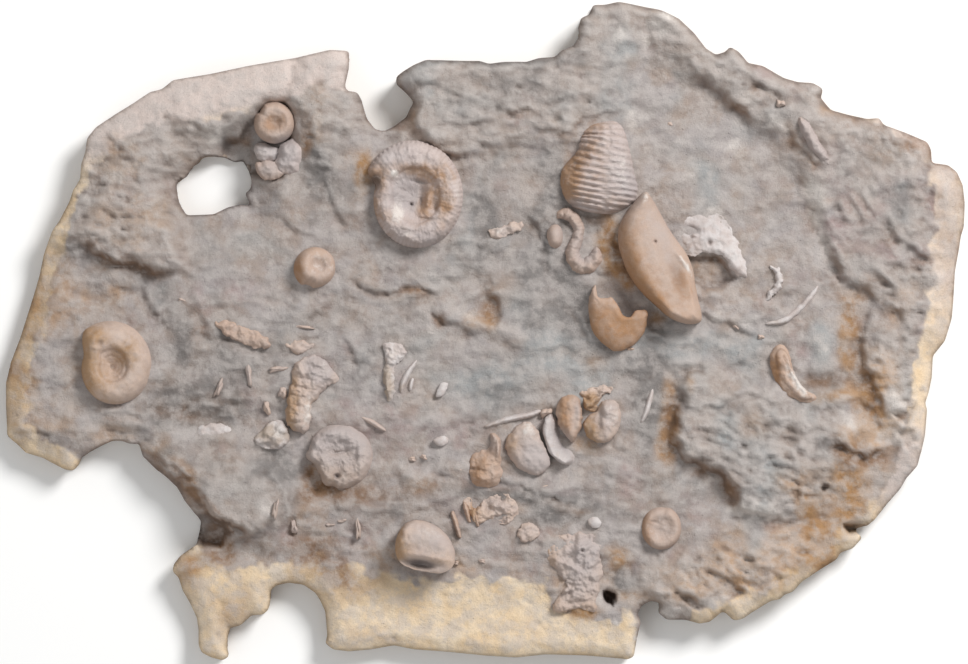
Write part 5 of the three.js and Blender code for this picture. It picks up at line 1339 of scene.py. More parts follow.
# The shells, as arguments of coil(), mound() and strand(). Places, outlines, paths, widths and
# reaches are in units, heights in mm, and bearings in degrees clockwise from u. A side has a
# bearing, a width, a rim and a bulge; a bite a bearing, a width and a depth; bumps are patches
# whose strength is in mm.
COILS = {
    "ammonite_large": dict(at=(415, 198), reach=58, stretch=(0.93, 1.04), growth=1.33, mouth=210, rise=8,
        hub=0.5, slope=0.9, bowl=0.62, dish=0.6, groove=0.04, crest=0.42, slant=0.05, ribs=64,
        rib_height=0.08, rough=0.42, soft=0.9, around=330, levels=80, bumps=[(428, 201, 3.4, 12, 1.9, 6),
        (421, 199, 2, 9, -0.8, 4), (436, 206, 2, 6, -0.7, 10), (404, 198, 12, 16, -0.7),
        (428, 219, 10, 1.6, -0.9, 4), (424, 214, 7, 4, 0.7), (399, 214, 8, 11, 0.8, 20),
        (411.5, 204.5, 1.5, 1.3, -1.8), (376, 181, 6, 8, -2.2, 30), (387, 235, 4, 3, 0.6, 30),
        (405, 228, 4, 3, 0.7), (409, 238, 4, 3, 0.6), (394, 174, 3, 5, 0.9, 40),
        (376, 160, 9, 4, 0.8, -35), (420, 182, 9, 2, -0.9, 10), (400, 184, 4, 10, 0.3)]),
    "ammonite_west": dict(at=(113, 367), reach=48, stretch=(0.93, 1), growth=1.5, mouth=232, rise=8,
        hub=0.36, slope=0.45, bowl=0.5, dish=0.26, groove=0.06, crest=0.55, slant=0.1, rough=0.16,
        soft=0.5, bumps=[(95, 338, 4, 7, 0.9, 30), (101, 343, 3, 3, -0.7), (88, 330, 4, 4, 0.6),
        (112.5, 367, 1.3, 1.3, -1.4), (100, 332, 4, 3, 0.5), (96, 348, 4, 2, 0.4, 20)]),
    "ammonite_centre": dict(at=(315, 268), reach=21.5, growth=1.08, mouth=110, rise=6, hub=0.35,
        slope=0.4, bowl=0.5, dish=0.06, groove=0.01, crest=0.6, tilt=15, towards=325, soft=1,
        bites=[(112, 12, 0.12)], bumps=[(323, 266, 5, 5, -0.5), (323, 266, 2, 2, 0.4)]),
    "ammonite_niche": dict(at=(274, 123), reach=21.5, growth=1.08, mouth=235, rise=6, hub=0.35, slope=0.3,
        bowl=0.85, dish=0.12, groove=0.01, crest=0.6, rough=0.2, soft=1, bites=[(225, 14, 0.1)],
        bumps=[(278, 124, 6, 5, -0.5)]),
    "ammonite_worn": dict(at=(340, 457), reach=35, growth=1.1, mouth=118, rise=6, hub=0.5, slope=0.3,
        dish=0.06, groove=0.015, crest=0.6, rough=0.5, soft=1, bites=[(150, 22, 0.24), (112, 14, 0.08),
        (200, 10, 0.06)], bumps=[(337, 476, 2.6, 2.4, -2), (341, 452, 9, 1.5, -0.7, -8),
        (334, 462, 7, 6, 0.5), (316, 444, 5, 4, 0.8), (330, 433, 6, 4, 0.8), (350, 436, 6, 4, 0.6, 20),
        (346, 466, 4, 8, 0.6), (360, 456, 3, 12, 0.4)]),
    "ammonite_ring": dict(at=(661, 528), reach=21.5, stretch=(0.96, 1.04), growth=1.08, mouth=300, rise=4,
        slope=0.5, bowl=0.7, dish=0.4, groove=0.01, crest=0.5, rough=0.15, soft=1,
        bumps=[(654, 522, 5, 1.6, -0.4, 20), (662, 527, 6, 7, 1.1)]),
}

MOUNDS = {
    "ammonite_tilted": dict(rise=8, rim=2, rough=0.2, ragged=0.35, pitch=0.9, outline=[(396, 552),
        (396, 540), (401, 528), (412, 520), (426, 521), (440, 528), (450, 539), (455, 552), (453, 565),
        (442, 572), (428, 571), (413, 568), (401, 562)], crown=[(410, 538), (424, 537), (438, 546)],
        sides=[(90, 40, 4.5, 0.7), (-60, 60, 1.5, 0.45)], bumps=[(421, 563, 15, 4.2, -4, 8),
        (430, 556, 24, 2.6, 0.5, 12), (405, 530, 4, 5, 0.9), (401, 541, 3, 4, 0.8), (410, 523, 3, 3, 0.7),
        (408, 536, 2, 3, -0.5)]),
    "clam_valve": dict(rise=10, rim=1.5, bulge=0.42, ragged=0.2, rough=0.1, pitch=1, outline=[(645, 192),
        (653, 201), (662, 217), (672, 234), (685, 252), (692, 268), (695, 284), (698, 300), (701, 312),
        (700, 322), (687, 324), (670, 318), (657, 307), (643, 294), (632, 280), (624, 264), (619, 248),
        (618, 233), (622, 219), (633, 203)], crown=[(645, 198), (637, 218), (638, 242), (644, 264),
        (651, 282), (660, 298), (671, 311), (684, 317)], sides=[(5, 80, 3.6, 0.62)],
        bumps=[(654.5, 242, 1.4, 1.4, -1.2), (677, 278, 7, 22, -1.1, -16), (683, 262, 2.4, 13, 0.9, -38),
        (691, 296, 2.4, 24, 0.6, -10)]),
    "clam_broken": dict(rise=6.5, rim=2, bulge=0.45, rough=0.1, pitch=0.9, outline=[(595, 285),
        (598, 297), (606, 298), (612, 298), (618, 306), (623, 315), (630, 317), (635, 311), (641, 310),
        (647, 312), (646, 327), (639, 340), (628, 348), (615, 351), (602, 343), (593, 332), (589, 317),
        (589, 299)], crown=[(600, 303), (611, 305), (621, 320), (633, 319), (642, 318)],
        sides=[(-60, 50, 5.4, 0.6), (-110, 30, 5.2, 0.6)]),
    "shell_lace": dict(rise=2.6, rim=1.4, ragged=2.3, rough=0.42, bulge=0.9, outline=[(680, 210),
        (696, 209), (713, 210), (727, 222), (738, 240), (747, 256), (750, 268), (745, 277), (738, 277),
        (731, 268), (724, 257), (712, 254), (703, 253), (694, 257), (685, 254), (678, 240), (675, 224)],
        crown=[(696, 240), (712, 244), (732, 256), (742, 270)], sides=[(-75, 125, 0, 1.3)],
        bumps=[(692, 231, 8, 4.5, -2.2, 12), (709.5, 243, 1.8, 2.6, -1.4), (694, 235, 3, 2, 1.6),
        (724, 262, 8, 3, 0.5, 50), (704, 230, 4, 8, 0.5, 20)]),
    "clam_crescent": dict(rise=4, rim=1.5, ragged=1, rough=0.5, lines=2, bulge=0.6, outline=[(771, 352),
        (779, 345), (787, 349), (791, 362), (796, 377), (805, 389), (816, 396), (812, 403), (800, 403),
        (787, 396), (777, 384), (771, 368)], crown=[(784, 356), (791, 374), (804, 393)],
        sides=[(150, 70, 0.6, 0.9)]),
    "oyster_hooked": dict(rise=5, rim=1.5, ragged=1.2, rough=0.6, pitch=0.8, outline=[(489, 433),
        (496, 434), (501, 441), (501, 455), (503, 468), (502, 480), (493, 487), (481, 487), (471, 480),
        (469, 468), (471, 456), (480, 451), (487, 449), (490, 442)], crown=[(496, 442), (496, 456),
        (486, 470)], bumps=[(475, 469, 8, 1.8, -1, 8), (484, 479, 10, 5, 0.6), (484, 461, 8, 4, 0.6),
        (488, 446, 4, 6, -1, 10), (498, 448, 2, 12, 0.8, 3), (494, 468, 3, 12, 0.4)]),
    "clam_oval": dict(rise=5.5, rim=1.5, ragged=1.2, rough=0.4, bulge=0.45, outline=[(520, 423),
        (530, 422), (537, 430), (543, 443), (550, 457), (548, 469), (537, 475), (525, 472), (514, 464),
        (507, 452), (506, 440), (512, 431)], crown=[(524, 440), (531, 458)], bumps=[(528, 429, 6, 5, 0.7),
        (511, 447, 4, 6, 0.5, -20), (514, 438, 3, 3, 0.6)]),
    "clam_edge": dict(rise=4.5, rim=2.2, ragged=0.6, rough=0.25, bulge=0.4, pitch=0.8,
        outline=[(548, 413), (554, 416), (560, 428), (567, 440), (574, 452), (574, 462), (567, 465),
        (558, 461), (549, 452), (545, 441), (543, 427)], crown=[(546.5, 422), (547, 440), (554, 455),
        (565, 462)], sides=[(-30, 80, 0.3, 1)], bumps=[(562, 441, 6, 17, -1.9, -28)]),
    "clam_cup_west": dict(rise=5.5, rim=1.5, ragged=1.2, rough=0.5, bulge=0.42, outline=[(559, 401),
        (567, 395), (577, 396), (581, 404), (582, 418), (580, 430), (573, 441), (567, 438), (560, 428),
        (556, 414)], crown=[(568, 406), (570, 424), (572, 434)], bumps=[(578, 412, 4, 12, 0.6),
        (576, 414, 2.5, 14, -0.6, 4), (563, 432, 3, 4, -0.6)]),
    "clam_cup_east": dict(rise=5.5, rim=1.5, ragged=1, rough=0.5, bulge=0.42, outline=[(601, 402),
        (610, 399), (618, 404), (621, 417), (617, 432), (607, 442), (595, 442), (586, 435), (584, 424),
        (588, 416), (597, 411)], crown=[(609, 410), (609, 426), (596, 430)],
        bumps=[(592, 424, 7, 10, -0.7), (599.5, 420, 3, 20, -1.1, 6), (614, 404, 5, 3, -0.5)]),
    "shell_crumbs": dict(rise=3, rim=1.2, ragged=1.6, rough=0.9, pitch=0.8, outline=[(581, 392),
        (590, 388), (601, 386), (612, 387), (611, 393), (603, 395), (600, 401), (598, 410), (590, 412),
        (584, 404)], crown=[(592, 396)], bumps=[(588, 399, 3, 2, -1, 20), (595, 404, 2, 3, -1.1, 20),
        (590, 408, 3, 1.5, -0.9), (597, 396, 2, 1.4, -0.8), (603, 391, 6, 1.6, 0.6, 10)]),
    "snail_spired": dict(rise=5, rim=1.5, ragged=1.7, rough=0.75, pitch=0.9, outline=[(300, 359),
        (314, 355), (324, 359), (331, 368), (339, 380), (329, 386), (321, 394), (312, 404), (311, 418),
        (306, 432), (296, 431), (287, 424), (287, 404), (290, 386), (293, 368)], crown=[(314, 372),
        (305, 386), (300, 404), (298, 420)], bumps=[(302, 378, 11, 1.6, -0.4, 12),
        (300, 387, 11, 1.6, -0.4, 12), (298, 396, 9, 1.6, -0.4, 12), (296, 405, 8, 1.5, -0.4, 12),
        (295, 414, 7, 1.4, -0.4, 12), (294, 422, 7, 1.4, -0.4, 12), (318, 364, 9, 3, 0.8, 10),
        (328, 376, 6, 4, 0.7, 20), (310, 372, 8, 3, 0.5, 10)]),
    "lump_spired": dict(rise=4, rim=1.5, ragged=1.4, rough=0.7, outline=[(270, 423), (280, 420),
        (287, 428), (289, 440), (283, 448), (270, 449), (259, 447), (254, 438), (260, 431)],
        crown=[(276, 437)], bumps=[(266, 431, 4, 4, 0.7), (268, 445, 3, 3, -1), (282, 430, 5, 5, 0.6),
        (262, 440, 5, 4, 0.4)]),
    "lump_niche_west": dict(rise=4, rim=1, ragged=1, rough=0.6, outline=[(254, 147), (261, 142),
        (272, 146), (282, 151), (277, 159), (268, 161), (264, 163), (256, 158)], crown=[(265, 152)]),
    "lump_niche_east": dict(rise=5, rim=1, ragged=1.2, rough=0.6, outline=[(278, 148), (284, 142),
        (296, 138), (303, 146), (303, 160), (297, 172), (286, 175), (278, 172), (273, 163), (277, 157)],
        crown=[(288, 154)]),
    "lump_niche_south": dict(rise=3.5, rim=1, ragged=1.2, rough=0.6, outline=[(255, 165), (262, 161),
        (271, 160), (281, 165), (284, 173), (277, 179), (262, 179)], crown=[(267, 169)]),
    "ammonite_crumbled": dict(rise=4.5, rim=1.5, ragged=2.4, rough=0.9, pitch=1, outline=[(545, 542),
        (553, 537), (564, 534), (580, 532), (597, 535), (604, 545), (602, 560), (603, 575), (599, 588),
        (597, 598), (596, 612), (583, 608), (570, 611), (556, 612), (553, 602), (562, 592), (565, 582),
        (556, 572), (547, 560)], crown=[(580, 550), (578, 575)], bumps=[(556, 584, 6, 8, -1.5),
        (592, 556, 5, 6, 0.5), (560, 603, 4, 3, 0.8), (582, 550, 1.8, 2, -2), (582, 550, 8, 6, 0.6),
        (572, 566, 14, 4, 0.5, 30), (590, 575, 10, 4, 0.5, 10), (566, 594, 12, 2, -0.9, -20),
        (575, 585, 10, 2, -0.7, 10), (578, 602, 14, 2, -0.8, -8), (560, 556, 6, 5, 0.6)]),
    "shell_heap_west": dict(rise=3.5, rim=1.2, ragged=2, rough=1, pitch=0.8, outline=[(464, 500),
        (470, 497), (474, 508), (481, 504), (488, 494), (498, 494), (508, 492), (517, 502), (518, 514),
        (510, 522), (500, 524), (490, 519), (480, 525), (471, 520), (467, 510)], crown=[(474, 514),
        (490, 508), (508, 508)], bumps=[(489, 506, 3, 9, -1.4, 10), (500, 500, 5, 3, -0.7),
        (496, 518, 2, 4, -0.8), (506, 519, 1.6, 4, -0.8), (476, 512, 1.6, 7, -0.6)]),
    "shell_heap_east": dict(rise=3, rim=1, ragged=1.8, rough=0.8, bulge=0.4, outline=[(517, 530),
        (528, 523), (537, 526), (539, 534), (532, 541), (520, 540)], crown=[(527, 532)]),
    "splinter_broad": dict(rise=3, rim=1.2, ragged=1.7, rough=0.7, pitch=0.8, outline=[(383, 345),
        (392, 342), (402, 345), (407, 351), (402, 360), (395, 366), (395, 380), (394, 394), (389, 401),
        (385, 390), (383, 372), (386, 360)], crown=[(392, 353), (389, 372), (389, 390)],
        bumps=[(391, 366, 6, 2.2, -0.9, 20), (389, 350, 2, 2, -0.8)]),
    "flake_white": dict(rise=2, rim=0.9, ragged=1.6, rough=0.4, bulge=0.4, outline=[(196, 430),
        (206, 425), (222, 424), (232, 430), (224, 437), (200, 438)], crown=[(205, 430), (222, 430)]),
    "flake_north": dict(rise=2, rim=0.9, ragged=2.2, rough=0.8, outline=[(490, 230), (503, 226),
        (518, 222), (523, 228), (510, 234), (500, 240), (491, 236)], crown=[(500, 232), (514, 228)]),
    "shard_tan": dict(rise=2.4, rim=1, ragged=2.2, rough=0.7, pitch=0.9, outline=[(213, 323), (226, 320),
        (242, 326), (256, 330), (270, 344), (262, 349), (246, 344), (230, 338)], crown=[(228, 330),
        (252, 338)]),
    "shell_egg": dict(rise=2.6, rim=1.7, ragged=0.7, rough=0.3, bulge=1, outline=[(588, 521), (592, 517),
        (598, 518), (601, 523), (597, 528), (590, 526)], crown=[(594, 523)]),
    "chip_north": dict(rise=2, rim=0.8, ragged=1.8, rough=0.6, outline=[(286, 344), (298, 341),
        (313, 344), (308, 351), (296, 354)], crown=[(298, 346)]),
    "chip_east": dict(rise=2, rim=0.8, outline=[(440, 384), (448, 383), (446, 391), (441, 397),
        (436, 396)], crown=[(442, 390)]),
    "chip_south": dict(rise=2, rim=0.8, outline=[(433, 440), (441, 436), (448, 438), (447, 444),
        (439, 446)], crown=[(440, 441)]),
}

STRANDS = {
    "ammonite_on_edge": dict(rings=15, ring_height=(0.34, 0.2), furrow=0.25, bend=(-0.9, 0.3), ribbed=36,
        blunt=16, around=110, steps=300, rough=0.42, path=[(607, 121), (609, 136), (608, 153), (607, 170),
        (606, 186), (605, 200), (604, 214)], half=[(24, 11), (28, 17), (31, 23), (44, 27), (46, 32),
        (41, 30), (30, 12)], rise=[4.5, 7, 8.5, 9.5, 9, 7.5, 5], bumps=[(576, 187, 7, 12, 0.9, 10),
        (573, 167, 5, 7, -0.8, 20), (572, 206, 8, 5, -0.6), (612, 134, 3, 3, -0.5)]),
    "worm_tube": dict(rings=10, ring_height=(0.1, 0.05), steps=200, rough=0.6, ragged=0.8,
        path=[(553, 221), (560, 215), (567, 214), (574, 219), (578, 229), (577, 240), (573, 250),
        (575, 261), (583, 266), (592, 263), (596, 255), (596, 247)],
        half=[4, 6, 6.5, 6.5, 6.5, 6, 7, 8, 9, 9, 8, 6],
        rise=[3, 4, 4.5, 4.5, 4.5, 4, 4, 4, 4, 4, 3.5, 3], bumps=[(571, 250, 3, 3, 0.9),
        (596, 248, 4, 4, 1), (577, 262, 4, 3, 0.7), (588, 268, 4, 3, 0.8), (597, 259, 3, 3, 0.7),
        (584, 256, 4, 5, -0.8), (580, 246, 3, 3, 0.6)]),
    "worm_bead": dict(steps=40, path=[(556, 224), (555, 232), (555, 241), (555, 249)], half=[5, 8, 8, 5],
        rise=[3, 5, 5, 3]),
    "belemnite": dict(rough=0.35, steps=80, ragged=0.9, path=[(798, 117), (806, 130), (814, 145),
        (822, 156), (828, 167)], half=[4, 6, 6, 5, 3], rise=[3, 4, 4, 3.5, 2]),
    "shell_hook": dict(rough=0.3, ragged=1.6, steps=80, path=[(770, 266), (778, 273), (778, 285),
        (771, 294), (765, 303)], half=[2.5, 3.5, 3.5, 3, 2], rise=[1.4, 1.8, 1.8, 1.6, 1.2]),
    "shell_arc": dict(ragged=0.5, steps=70, path=[(766, 324), (785, 320), (802, 306), (811, 296),
        (818, 286)], half=[2, 3, 3, 3, 2], rise=[1.2, 1.5, 1.5, 1.5, 1.2]),
    "clam_edge_long": dict(ragged=0.4, blunt=12, path=[(484, 427), (505, 420), (528, 415), (541, 411)],
        half=[1.8, 3, 3, 2.2], rise=[1.6, 2.4, 2.4, 1.6]),
    "splinter_long": dict(ragged=0.3, path=[(417, 360), (409, 371), (403, 383), (401, 394)],
        half=[1.8, 3, 3, 1.8], rise=[1.6, 2.4, 2.4, 1.6]),
    "splinter_short": dict(path=[(413, 378), (411, 384), (410, 391)], half=[1.6, 2.2, 1.6],
        rise=[1.4, 1.8, 1.4]),
    "splinter_east": dict(path=[(653, 388), (650, 399), (646, 412), (641, 423)],
        half=[1.8, 2.8, 2.8, 1.8], rise=[1.4, 2, 2, 1.4]),
    "splinter_west": dict(path=[(359, 416), (370, 421), (378, 426), (386, 431)],
        half=[1.6, 2.6, 2.4, 1.6], rise=[1.3, 1.7, 1.7, 1.3]),
    "slat_a": dict(blunt=16, rough=0.2, ragged=0.5, path=[(452, 511), (456, 524), (460, 538)],
        half=[2, 2.8, 2], rise=[2, 3, 2]),
    "slat_b": dict(blunt=16, rough=0.2, ragged=0.5, path=[(464, 502), (467, 512), (470, 523)],
        half=[2, 2.6, 2], rise=[2, 3, 2]),
    "slat_c": dict(blunt=16, rough=0.2, ragged=0.5, path=[(474, 508), (476, 517), (478, 527)],
        half=[1.8, 2.4, 1.8], rise=[2, 3, 2]),
}

# The material slot of each node.
TONES = {part["node"]: part["material_slot"] for part in frame["record"]["subparts"]}


# ---- finishes ----
ROCK_BUMP, SHELL_BUMP = 0.00045, 0.00025  # depth of the finest grain in metres
SHINE = 0.25


def paint(code):
    """Linear colour of a hex colour."""
    parts = np.array([(code >> shift & 255) / 255 for shift in (16, 8, 0)])
    linear = np.where(parts <= 0.04045, parts / 12.92, ((parts + 0.055) / 1.055) ** 2.4)
    return (*linear.tolist(), 1)


class Finish:
    """A node tree with short ways to add to it. A value given to an input may be a number, a
    colour or another node's output."""

    def __init__(self, tree):
        self.tree = tree

    def add(self, kind, inputs=None, **settings):
        node = self.tree.nodes.new(kind)
        for key, value in settings.items():
            setattr(node, key, value)
        for key, value in (inputs or {}).items():
            self.feed(node.inputs[key], value)
        return node

    def feed(self, socket, value):
        if isinstance(value, bpy.types.NodeSocket):
            self.tree.links.new(value, socket)
        else:
            socket.default_value = value

    def mask(self, name):
        return self.add("ShaderNodeAttribute", attribute_name=name).outputs["Fac"]

    def math(self, operation, a, b):
        return self.add("ShaderNodeMath", {0: a, 1: b}, operation=operation).outputs[0]

    def span(self, value, low, high, to_low=0.0, to_high=1.0):
        inputs = {"Value": value, "From Min": low, "From Max": high, "To Min": to_low, "To Max": to_high}
        return self.add("ShaderNodeMapRange", inputs, interpolation_type="SMOOTHSTEP").outputs[0]

    def mix(self, share, a, b, blend="MIX"):
        node = self.add("ShaderNodeMix", data_type="RGBA", blend_type=blend)
        self.feed(node.inputs[0], share)
        self.feed(node.inputs[6], a)
        self.feed(node.inputs[7], b)
        return node.outputs[2]

    def cloud(self, where, scale, detail=4.0, rough=0.55, twist=0.0):
        inputs = {"Vector": where, "Scale": scale, "Detail": detail, "Roughness": rough}
        return self.add("ShaderNodeTexNoise", {**inputs, "Distortion": twist}).outputs["Fac"]

    def tinted(self, tone, mask, share, code):
        """The tone with a share of a colour where the mask is."""
        return self.mix(self.math("MULTIPLY", self.mask(mask), share), tone, paint(code))

    def laid(self, tone, mask, source, sway, low, high, over):
        """The tone with another laid over it where the mask, swayed by a noise, is high."""
        amount = self.math("ADD", self.mask(mask), self.span(source, 0.3, 0.7, -sway, sway))
        return self.mix(self.span(amount, low, high), tone, over)


def shared(name, inputs, outputs, fill):
    """A shader node group with float inputs and the outputs named; fill(finish, inputs) gives them."""
    group = bpy.data.node_groups.new(name, "ShaderNodeTree")
    for label, value in inputs.items():
        socket = group.interface.new_socket(label, in_out="INPUT", socket_type="NodeSocketFloat")
        socket.default_value = value
    for label, kind in outputs.items():
        group.interface.new_socket(label, in_out="OUTPUT", socket_type=kind)
    finish = Finish(group)
    source = finish.add("NodeGroupInput")
    sink = finish.add("NodeGroupOutput")
    for label, value in fill(finish, source.outputs).items():
        finish.feed(sink.inputs[label], value)
    return group


def stone_grain():
    """Grain of marl: fine sand, pits and soft mottling. Height is for a bump, the rest are masks."""
    def fill(finish, given):
        where = finish.add("ShaderNodeTexCoord").outputs["Object"]
        sand = finish.cloud(where, 2600, 3.0, 0.65)
        clods = finish.cloud(where, 620, 6.0, 0.62, 0.3)
        cells = finish.add("ShaderNodeTexVoronoi", {"Vector": where, "Scale": 900.0}, feature="F1")
        pits = finish.span(cells.outputs["Distance"], 0.0, 0.28, 1.0, 0.0)
        pits = finish.math("MULTIPLY", pits, finish.span(clods, 0.48, 0.6))
        mottle = finish.cloud(where, 90, 3.0, 0.5, 0.6)
        clouds = finish.cloud(where, 260, 3.0, 0.55, 0.5)
        height = finish.math("MULTIPLY", sand, 0.35)
        height = finish.math("ADD", height, finish.math("MULTIPLY", clods, given["Clods"]))
        height = finish.math("SUBTRACT", height, finish.math("MULTIPLY", pits, given["Pits"]))
        return {"Height": height, "Sand": sand, "Clods": clods, "Mottle": mottle, "Clouds": clouds}

    outputs = {name: "NodeSocketFloat" for name in ("Height", "Sand", "Clods", "Mottle", "Clouds")}
    return shared("stone_grain", {"Clods": 1.0, "Pits": 0.5}, outputs, fill)


def rock_dust():
    """Dust that lies on faces turned upwards, in drifts: a mask."""
    def fill(finish, given):
        geometry = finish.add("ShaderNodeNewGeometry")
        upward = finish.add("ShaderNodeSeparateXYZ", {"Vector": geometry.outputs["Normal"]}).outputs["Z"]
        where = finish.add("ShaderNodeTexCoord").outputs["Object"]
        drift = finish.span(finish.cloud(where, 210, 4.0, 0.6), 0.4, 0.62)
        lying = finish.math("MULTIPLY", finish.span(upward, 0.55, 0.98), drift)
        return {"Dust": finish.math("MULTIPLY", lying, given["Amount"])}

    return shared("rock_dust", {"Amount": 0.5}, {"Dust": "NodeSocketFloat"}, fill)


def finished(name, fill):
    """A material whose colour, roughness and bump height come from fill(finish)."""
    material = bpy.data.materials.new(name)
    material.use_nodes = True
    material.node_tree.nodes.clear()
    finish = Finish(material.node_tree)
    colour, rough, height, depth = fill(finish)
    bump = finish.add("ShaderNodeBump", {"Height": height, "Distance": depth, "Strength": 1.0})
    shader = finish.add("ShaderNodeBsdfPrincipled", {"Base Color": colour, "Roughness": rough,
                                                     "Normal": bump.outputs["Normal"]})
    shader.inputs["Specular IOR Level"].default_value = SHINE
    sink = finish.add("ShaderNodeOutputMaterial", {"Surface": shader.outputs["BSDF"]})
    sink.is_active_output = True
    return material


def speckled(finish, tone, sand, low, high):
    """A tone times a grey that runs with the sand from low to high."""
    grey = finish.span(sand, 0.3, 0.7, low, high)
    shade = finish.add("ShaderNodeCombineColor", {0: grey, 1: grey, 2: grey}).outputs[0]
    return finish.mix(1.0, tone, shade, "MULTIPLY")


# Colours laid over the rock in turn: mask, noise that sways it, how far, and where it starts and
# covers. The rind lies between the first and the second group.
UNDER_RIND = [
    ("plum", "Mottle", 0.1, 0.1, 1.0, PLUM),
    ("tan", "Mottle", 0.1, 0.1, 1.0, WARM_TAN),
    ("cool", "Mottle", 0.1, 0.1, 1.0, COOL_GREY),
]
OVER_RIND = [
    # chalky bloom and painted light
    ("chalk_and_light", "Clods", 0.1, 0.15, 1.0, CHALK_AND_LIGHT_PALE),
    ("ochre", "Mottle", 0.1, 0.1, 1.1, OCHRE),
    # painted shade
    ("shade_grey", "Mottle", 0.06, 0.05, 1.1, SHADE_GREY),
    # brown stains and painted shade
    ("umber_and_shade", "Clods", 0.08, 0.1, 1.4, UMBER_STAIN_AND_SHADE),
]


def rock_finish(grain_group, dust_group):
    """Grey marl in cool and tan clouds, with a tan rind, ochre and brown stains, chalky bruises
    and a plum tinge. Painted shade: dark grey in shadowed places, umber at the feet of ledges and
    on the lee sides, dark brown in the hollows; the chalky pale also paints light on lit faces."""
    def fill(finish):
        grain = finish.add("ShaderNodeGroup", node_tree=grain_group).outputs
        dust = finish.add("ShaderNodeGroup", node_tree=dust_group).outputs["Dust"]
        mottle, sand = grain["Mottle"], grain["Sand"]
        tone = finish.mix(finish.span(mottle, 0.35, 0.65), paint(ROCK_GREY), paint(ROCK_GREY_WARM))
        tone = finish.tinted(tone, "crust", 0.7, CRUST_GREY)
        for mask, source, sway, low, high, code in UNDER_RIND:
            tone = finish.laid(tone, mask, grain[source], sway, low, high, paint(code))
        rind = finish.mix(finish.span(mottle, 0.25, 0.75), paint(RIND_TAN), paint(RIND_PALE))
        rind = finish.laid(rind, "pink", mottle, 0.1, 0.1, 0.9, paint(RIND_PINK))
        tone = finish.laid(tone, "rind", mottle, 0.1, 0.1, 0.75, rind)
        for mask, source, sway, low, high, code in OVER_RIND:
            tone = finish.laid(tone, mask, grain[source], sway, low, high, paint(code))
        # dirt and painted shade in the hollows
        tone = finish.tinted(tone, "hollow_dirt_and_shade", 0.5, HOLLOW_DIRT_AND_SHADE)
        tone = finish.tinted(tone, "crest", 0.35, CREST_PALE)
        tone = finish.mix(dust, tone, paint(DUST))
        tone = finish.tinted(tone, "wall", 0.6, WALL_BROWN)
        tone = speckled(finish, tone, sand, 0.92, 1.07)
        return tone, finish.span(sand, 0.2, 0.8, 0.86, 0.98), grain["Height"], ROCK_BUMP

    return finished("marl", fill)


def shell_finish(name, grain_group, dust_group, pale, deep, groove, rock_share):
    """Fossil shell: pale, with a deep tone where it is stained and where shade is painted, darker
    grooves, and some of the rock's grey and of chalk still on it; the chalk's pale also paints
    light on lit sides, and dark brown paints dirt and shade in seams and dents."""
    def fill(finish):
        grain = finish.add("ShaderNodeGroup", {"Clods": 0.45, "Pits": 0.2}, node_tree=grain_group).outputs
        dust = finish.add("ShaderNodeGroup", {"Amount": 0.2}, node_tree=dust_group).outputs["Dust"]
        clods, clouds = grain["Clods"], grain["Clouds"]
        tone = finish.mix(finish.span(clouds, 0.38, 0.64, 0.0, 2.2 * rock_share), paint(pale), paint(VEIL))
        tone = finish.laid(tone, "stain_and_shade", clouds, 0.2, 0.0, 1.0, paint(deep))
        ridge = finish.span(finish.mask("ridge"), 0.5, 0.0)
        tone = finish.mix(finish.math("MULTIPLY", ridge, 0.45), tone, paint(groove))
        # dirt and painted shade in the seams and dents
        tone = finish.tinted(tone, "hollow_dirt_and_shade", 0.8, HOLLOW_DIRT_AND_SHADE)
        crust = finish.math("MULTIPLY", finish.span(clods, 0.48, 0.68), rock_share)
        tone = finish.mix(crust, tone, paint(VEIL))
        tone = finish.tinted(tone, "veil", 0.75, VEIL_GREY)
        tone = finish.laid(tone, "chalk_and_light", clods, 0.2, 0.2, 0.9, paint(CHALK_AND_LIGHT_PALE))
        tone = finish.mix(dust, tone, paint(DUST))
        tone = speckled(finish, tone, grain["Sand"], 0.95, 1.04)
        return tone, finish.span(clods, 0.3, 0.7, 0.7, 0.9), grain["Height"], SHELL_BUMP

    return finished(name, fill)


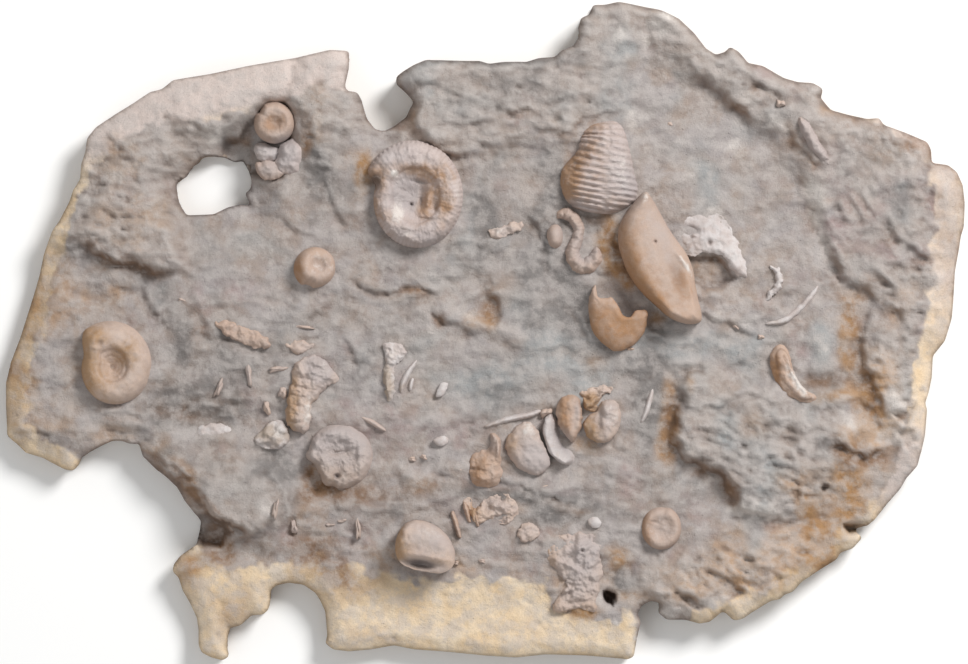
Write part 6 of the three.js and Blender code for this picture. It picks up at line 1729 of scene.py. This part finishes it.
# ---- studio ----
def studio():
    """A pale floor just under the slab, a pale sky, two soft lamps, the stronger one high on the
    right behind, and a camera straight above with a long lens."""
    corners = FLOOR_HALF * np.array([[-1, -1, 0], [1, -1, 0], [1, 1, 0], [-1, 1, 0]])
    floor = new_piece("floor", corners + [0, 0, -0.3 * MM], [np.array([[0, 1, 2, 3]])], {})

    def pale(finish):
        where = finish.add("ShaderNodeTexCoord").outputs["Object"]
        return paint(FLOOR_WHITE), 0.8, finish.cloud(where, 60, 2.0), 0.0

    floor.data.materials.append(finished("pale_floor", pale))
    scene = bpy.context.scene
    scene.view_settings.view_transform = "Standard"
    world = bpy.data.worlds.new("sky")
    world.use_nodes = True
    sky = world.node_tree.nodes["Background"].inputs
    sky["Color"].default_value = SKY_BLUE
    sky["Strength"].default_value = SKY_LIGHT
    scene.world = world
    for name, spot, size, power in LAMPS:
        lamp = bpy.data.lights.new(name, "AREA")
        lamp.shape = "DISK"
        lamp.size, lamp.energy = size, power
        holder = bpy.data.objects.new(name, lamp)
        holder.location = spot
        holder.rotation_mode = "QUATERNION"
        holder.rotation_quaternion = (-holder.location).to_track_quat("-Z", "Y")
        scene.collection.objects.link(holder)
    lens = bpy.data.cameras.new("camera")
    lens.lens, lens.sensor_width = LENS, SENSOR
    lens.clip_end = 20
    camera = bpy.data.objects.new("camera", lens)
    distance = VIEW[0] * UNIT * LENS / SENSOR
    camera.location = place(np.array(VIEW[0] / 2), np.array(VIEW[1] / 2), FLOOR) + [0, 0, distance]
    scene.collection.objects.link(camera)
    scene.camera = camera


# ---- the whole piece ----
def clothe(piece, node, material):
    """Sets a piece in place of a CAD node, with its finish."""
    piece.data.materials.append(material)
    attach(piece, "root")
    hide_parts(node)


GRAIN, DUST_GROUP = stone_grain(), rock_dust()
ROCK = rock_finish(GRAIN, DUST_GROUP)
SHELLS = {slot: shell_finish(slot + "_skin", GRAIN, DUST_GROUP, *tones)
          for slot, tones in SHELL_TONES.items()}

clothe(slab(), "matrix_slab", ROCK)
for node in frame["nodes"]:
    if node == "matrix_slab":
        continue
    if node in COILS:
        piece = coil(node, **COILS[node])
    elif node in MOUNDS:
        piece = mound(node, **MOUNDS[node])
    else:
        piece = strand(node, **STRANDS[node])
    clothe(piece, node, SHELLS[TONES[node]])

flakes = chips()
flakes.data.materials.append(SHELLS["shell_cream"])
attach(flakes, "root")

studio()
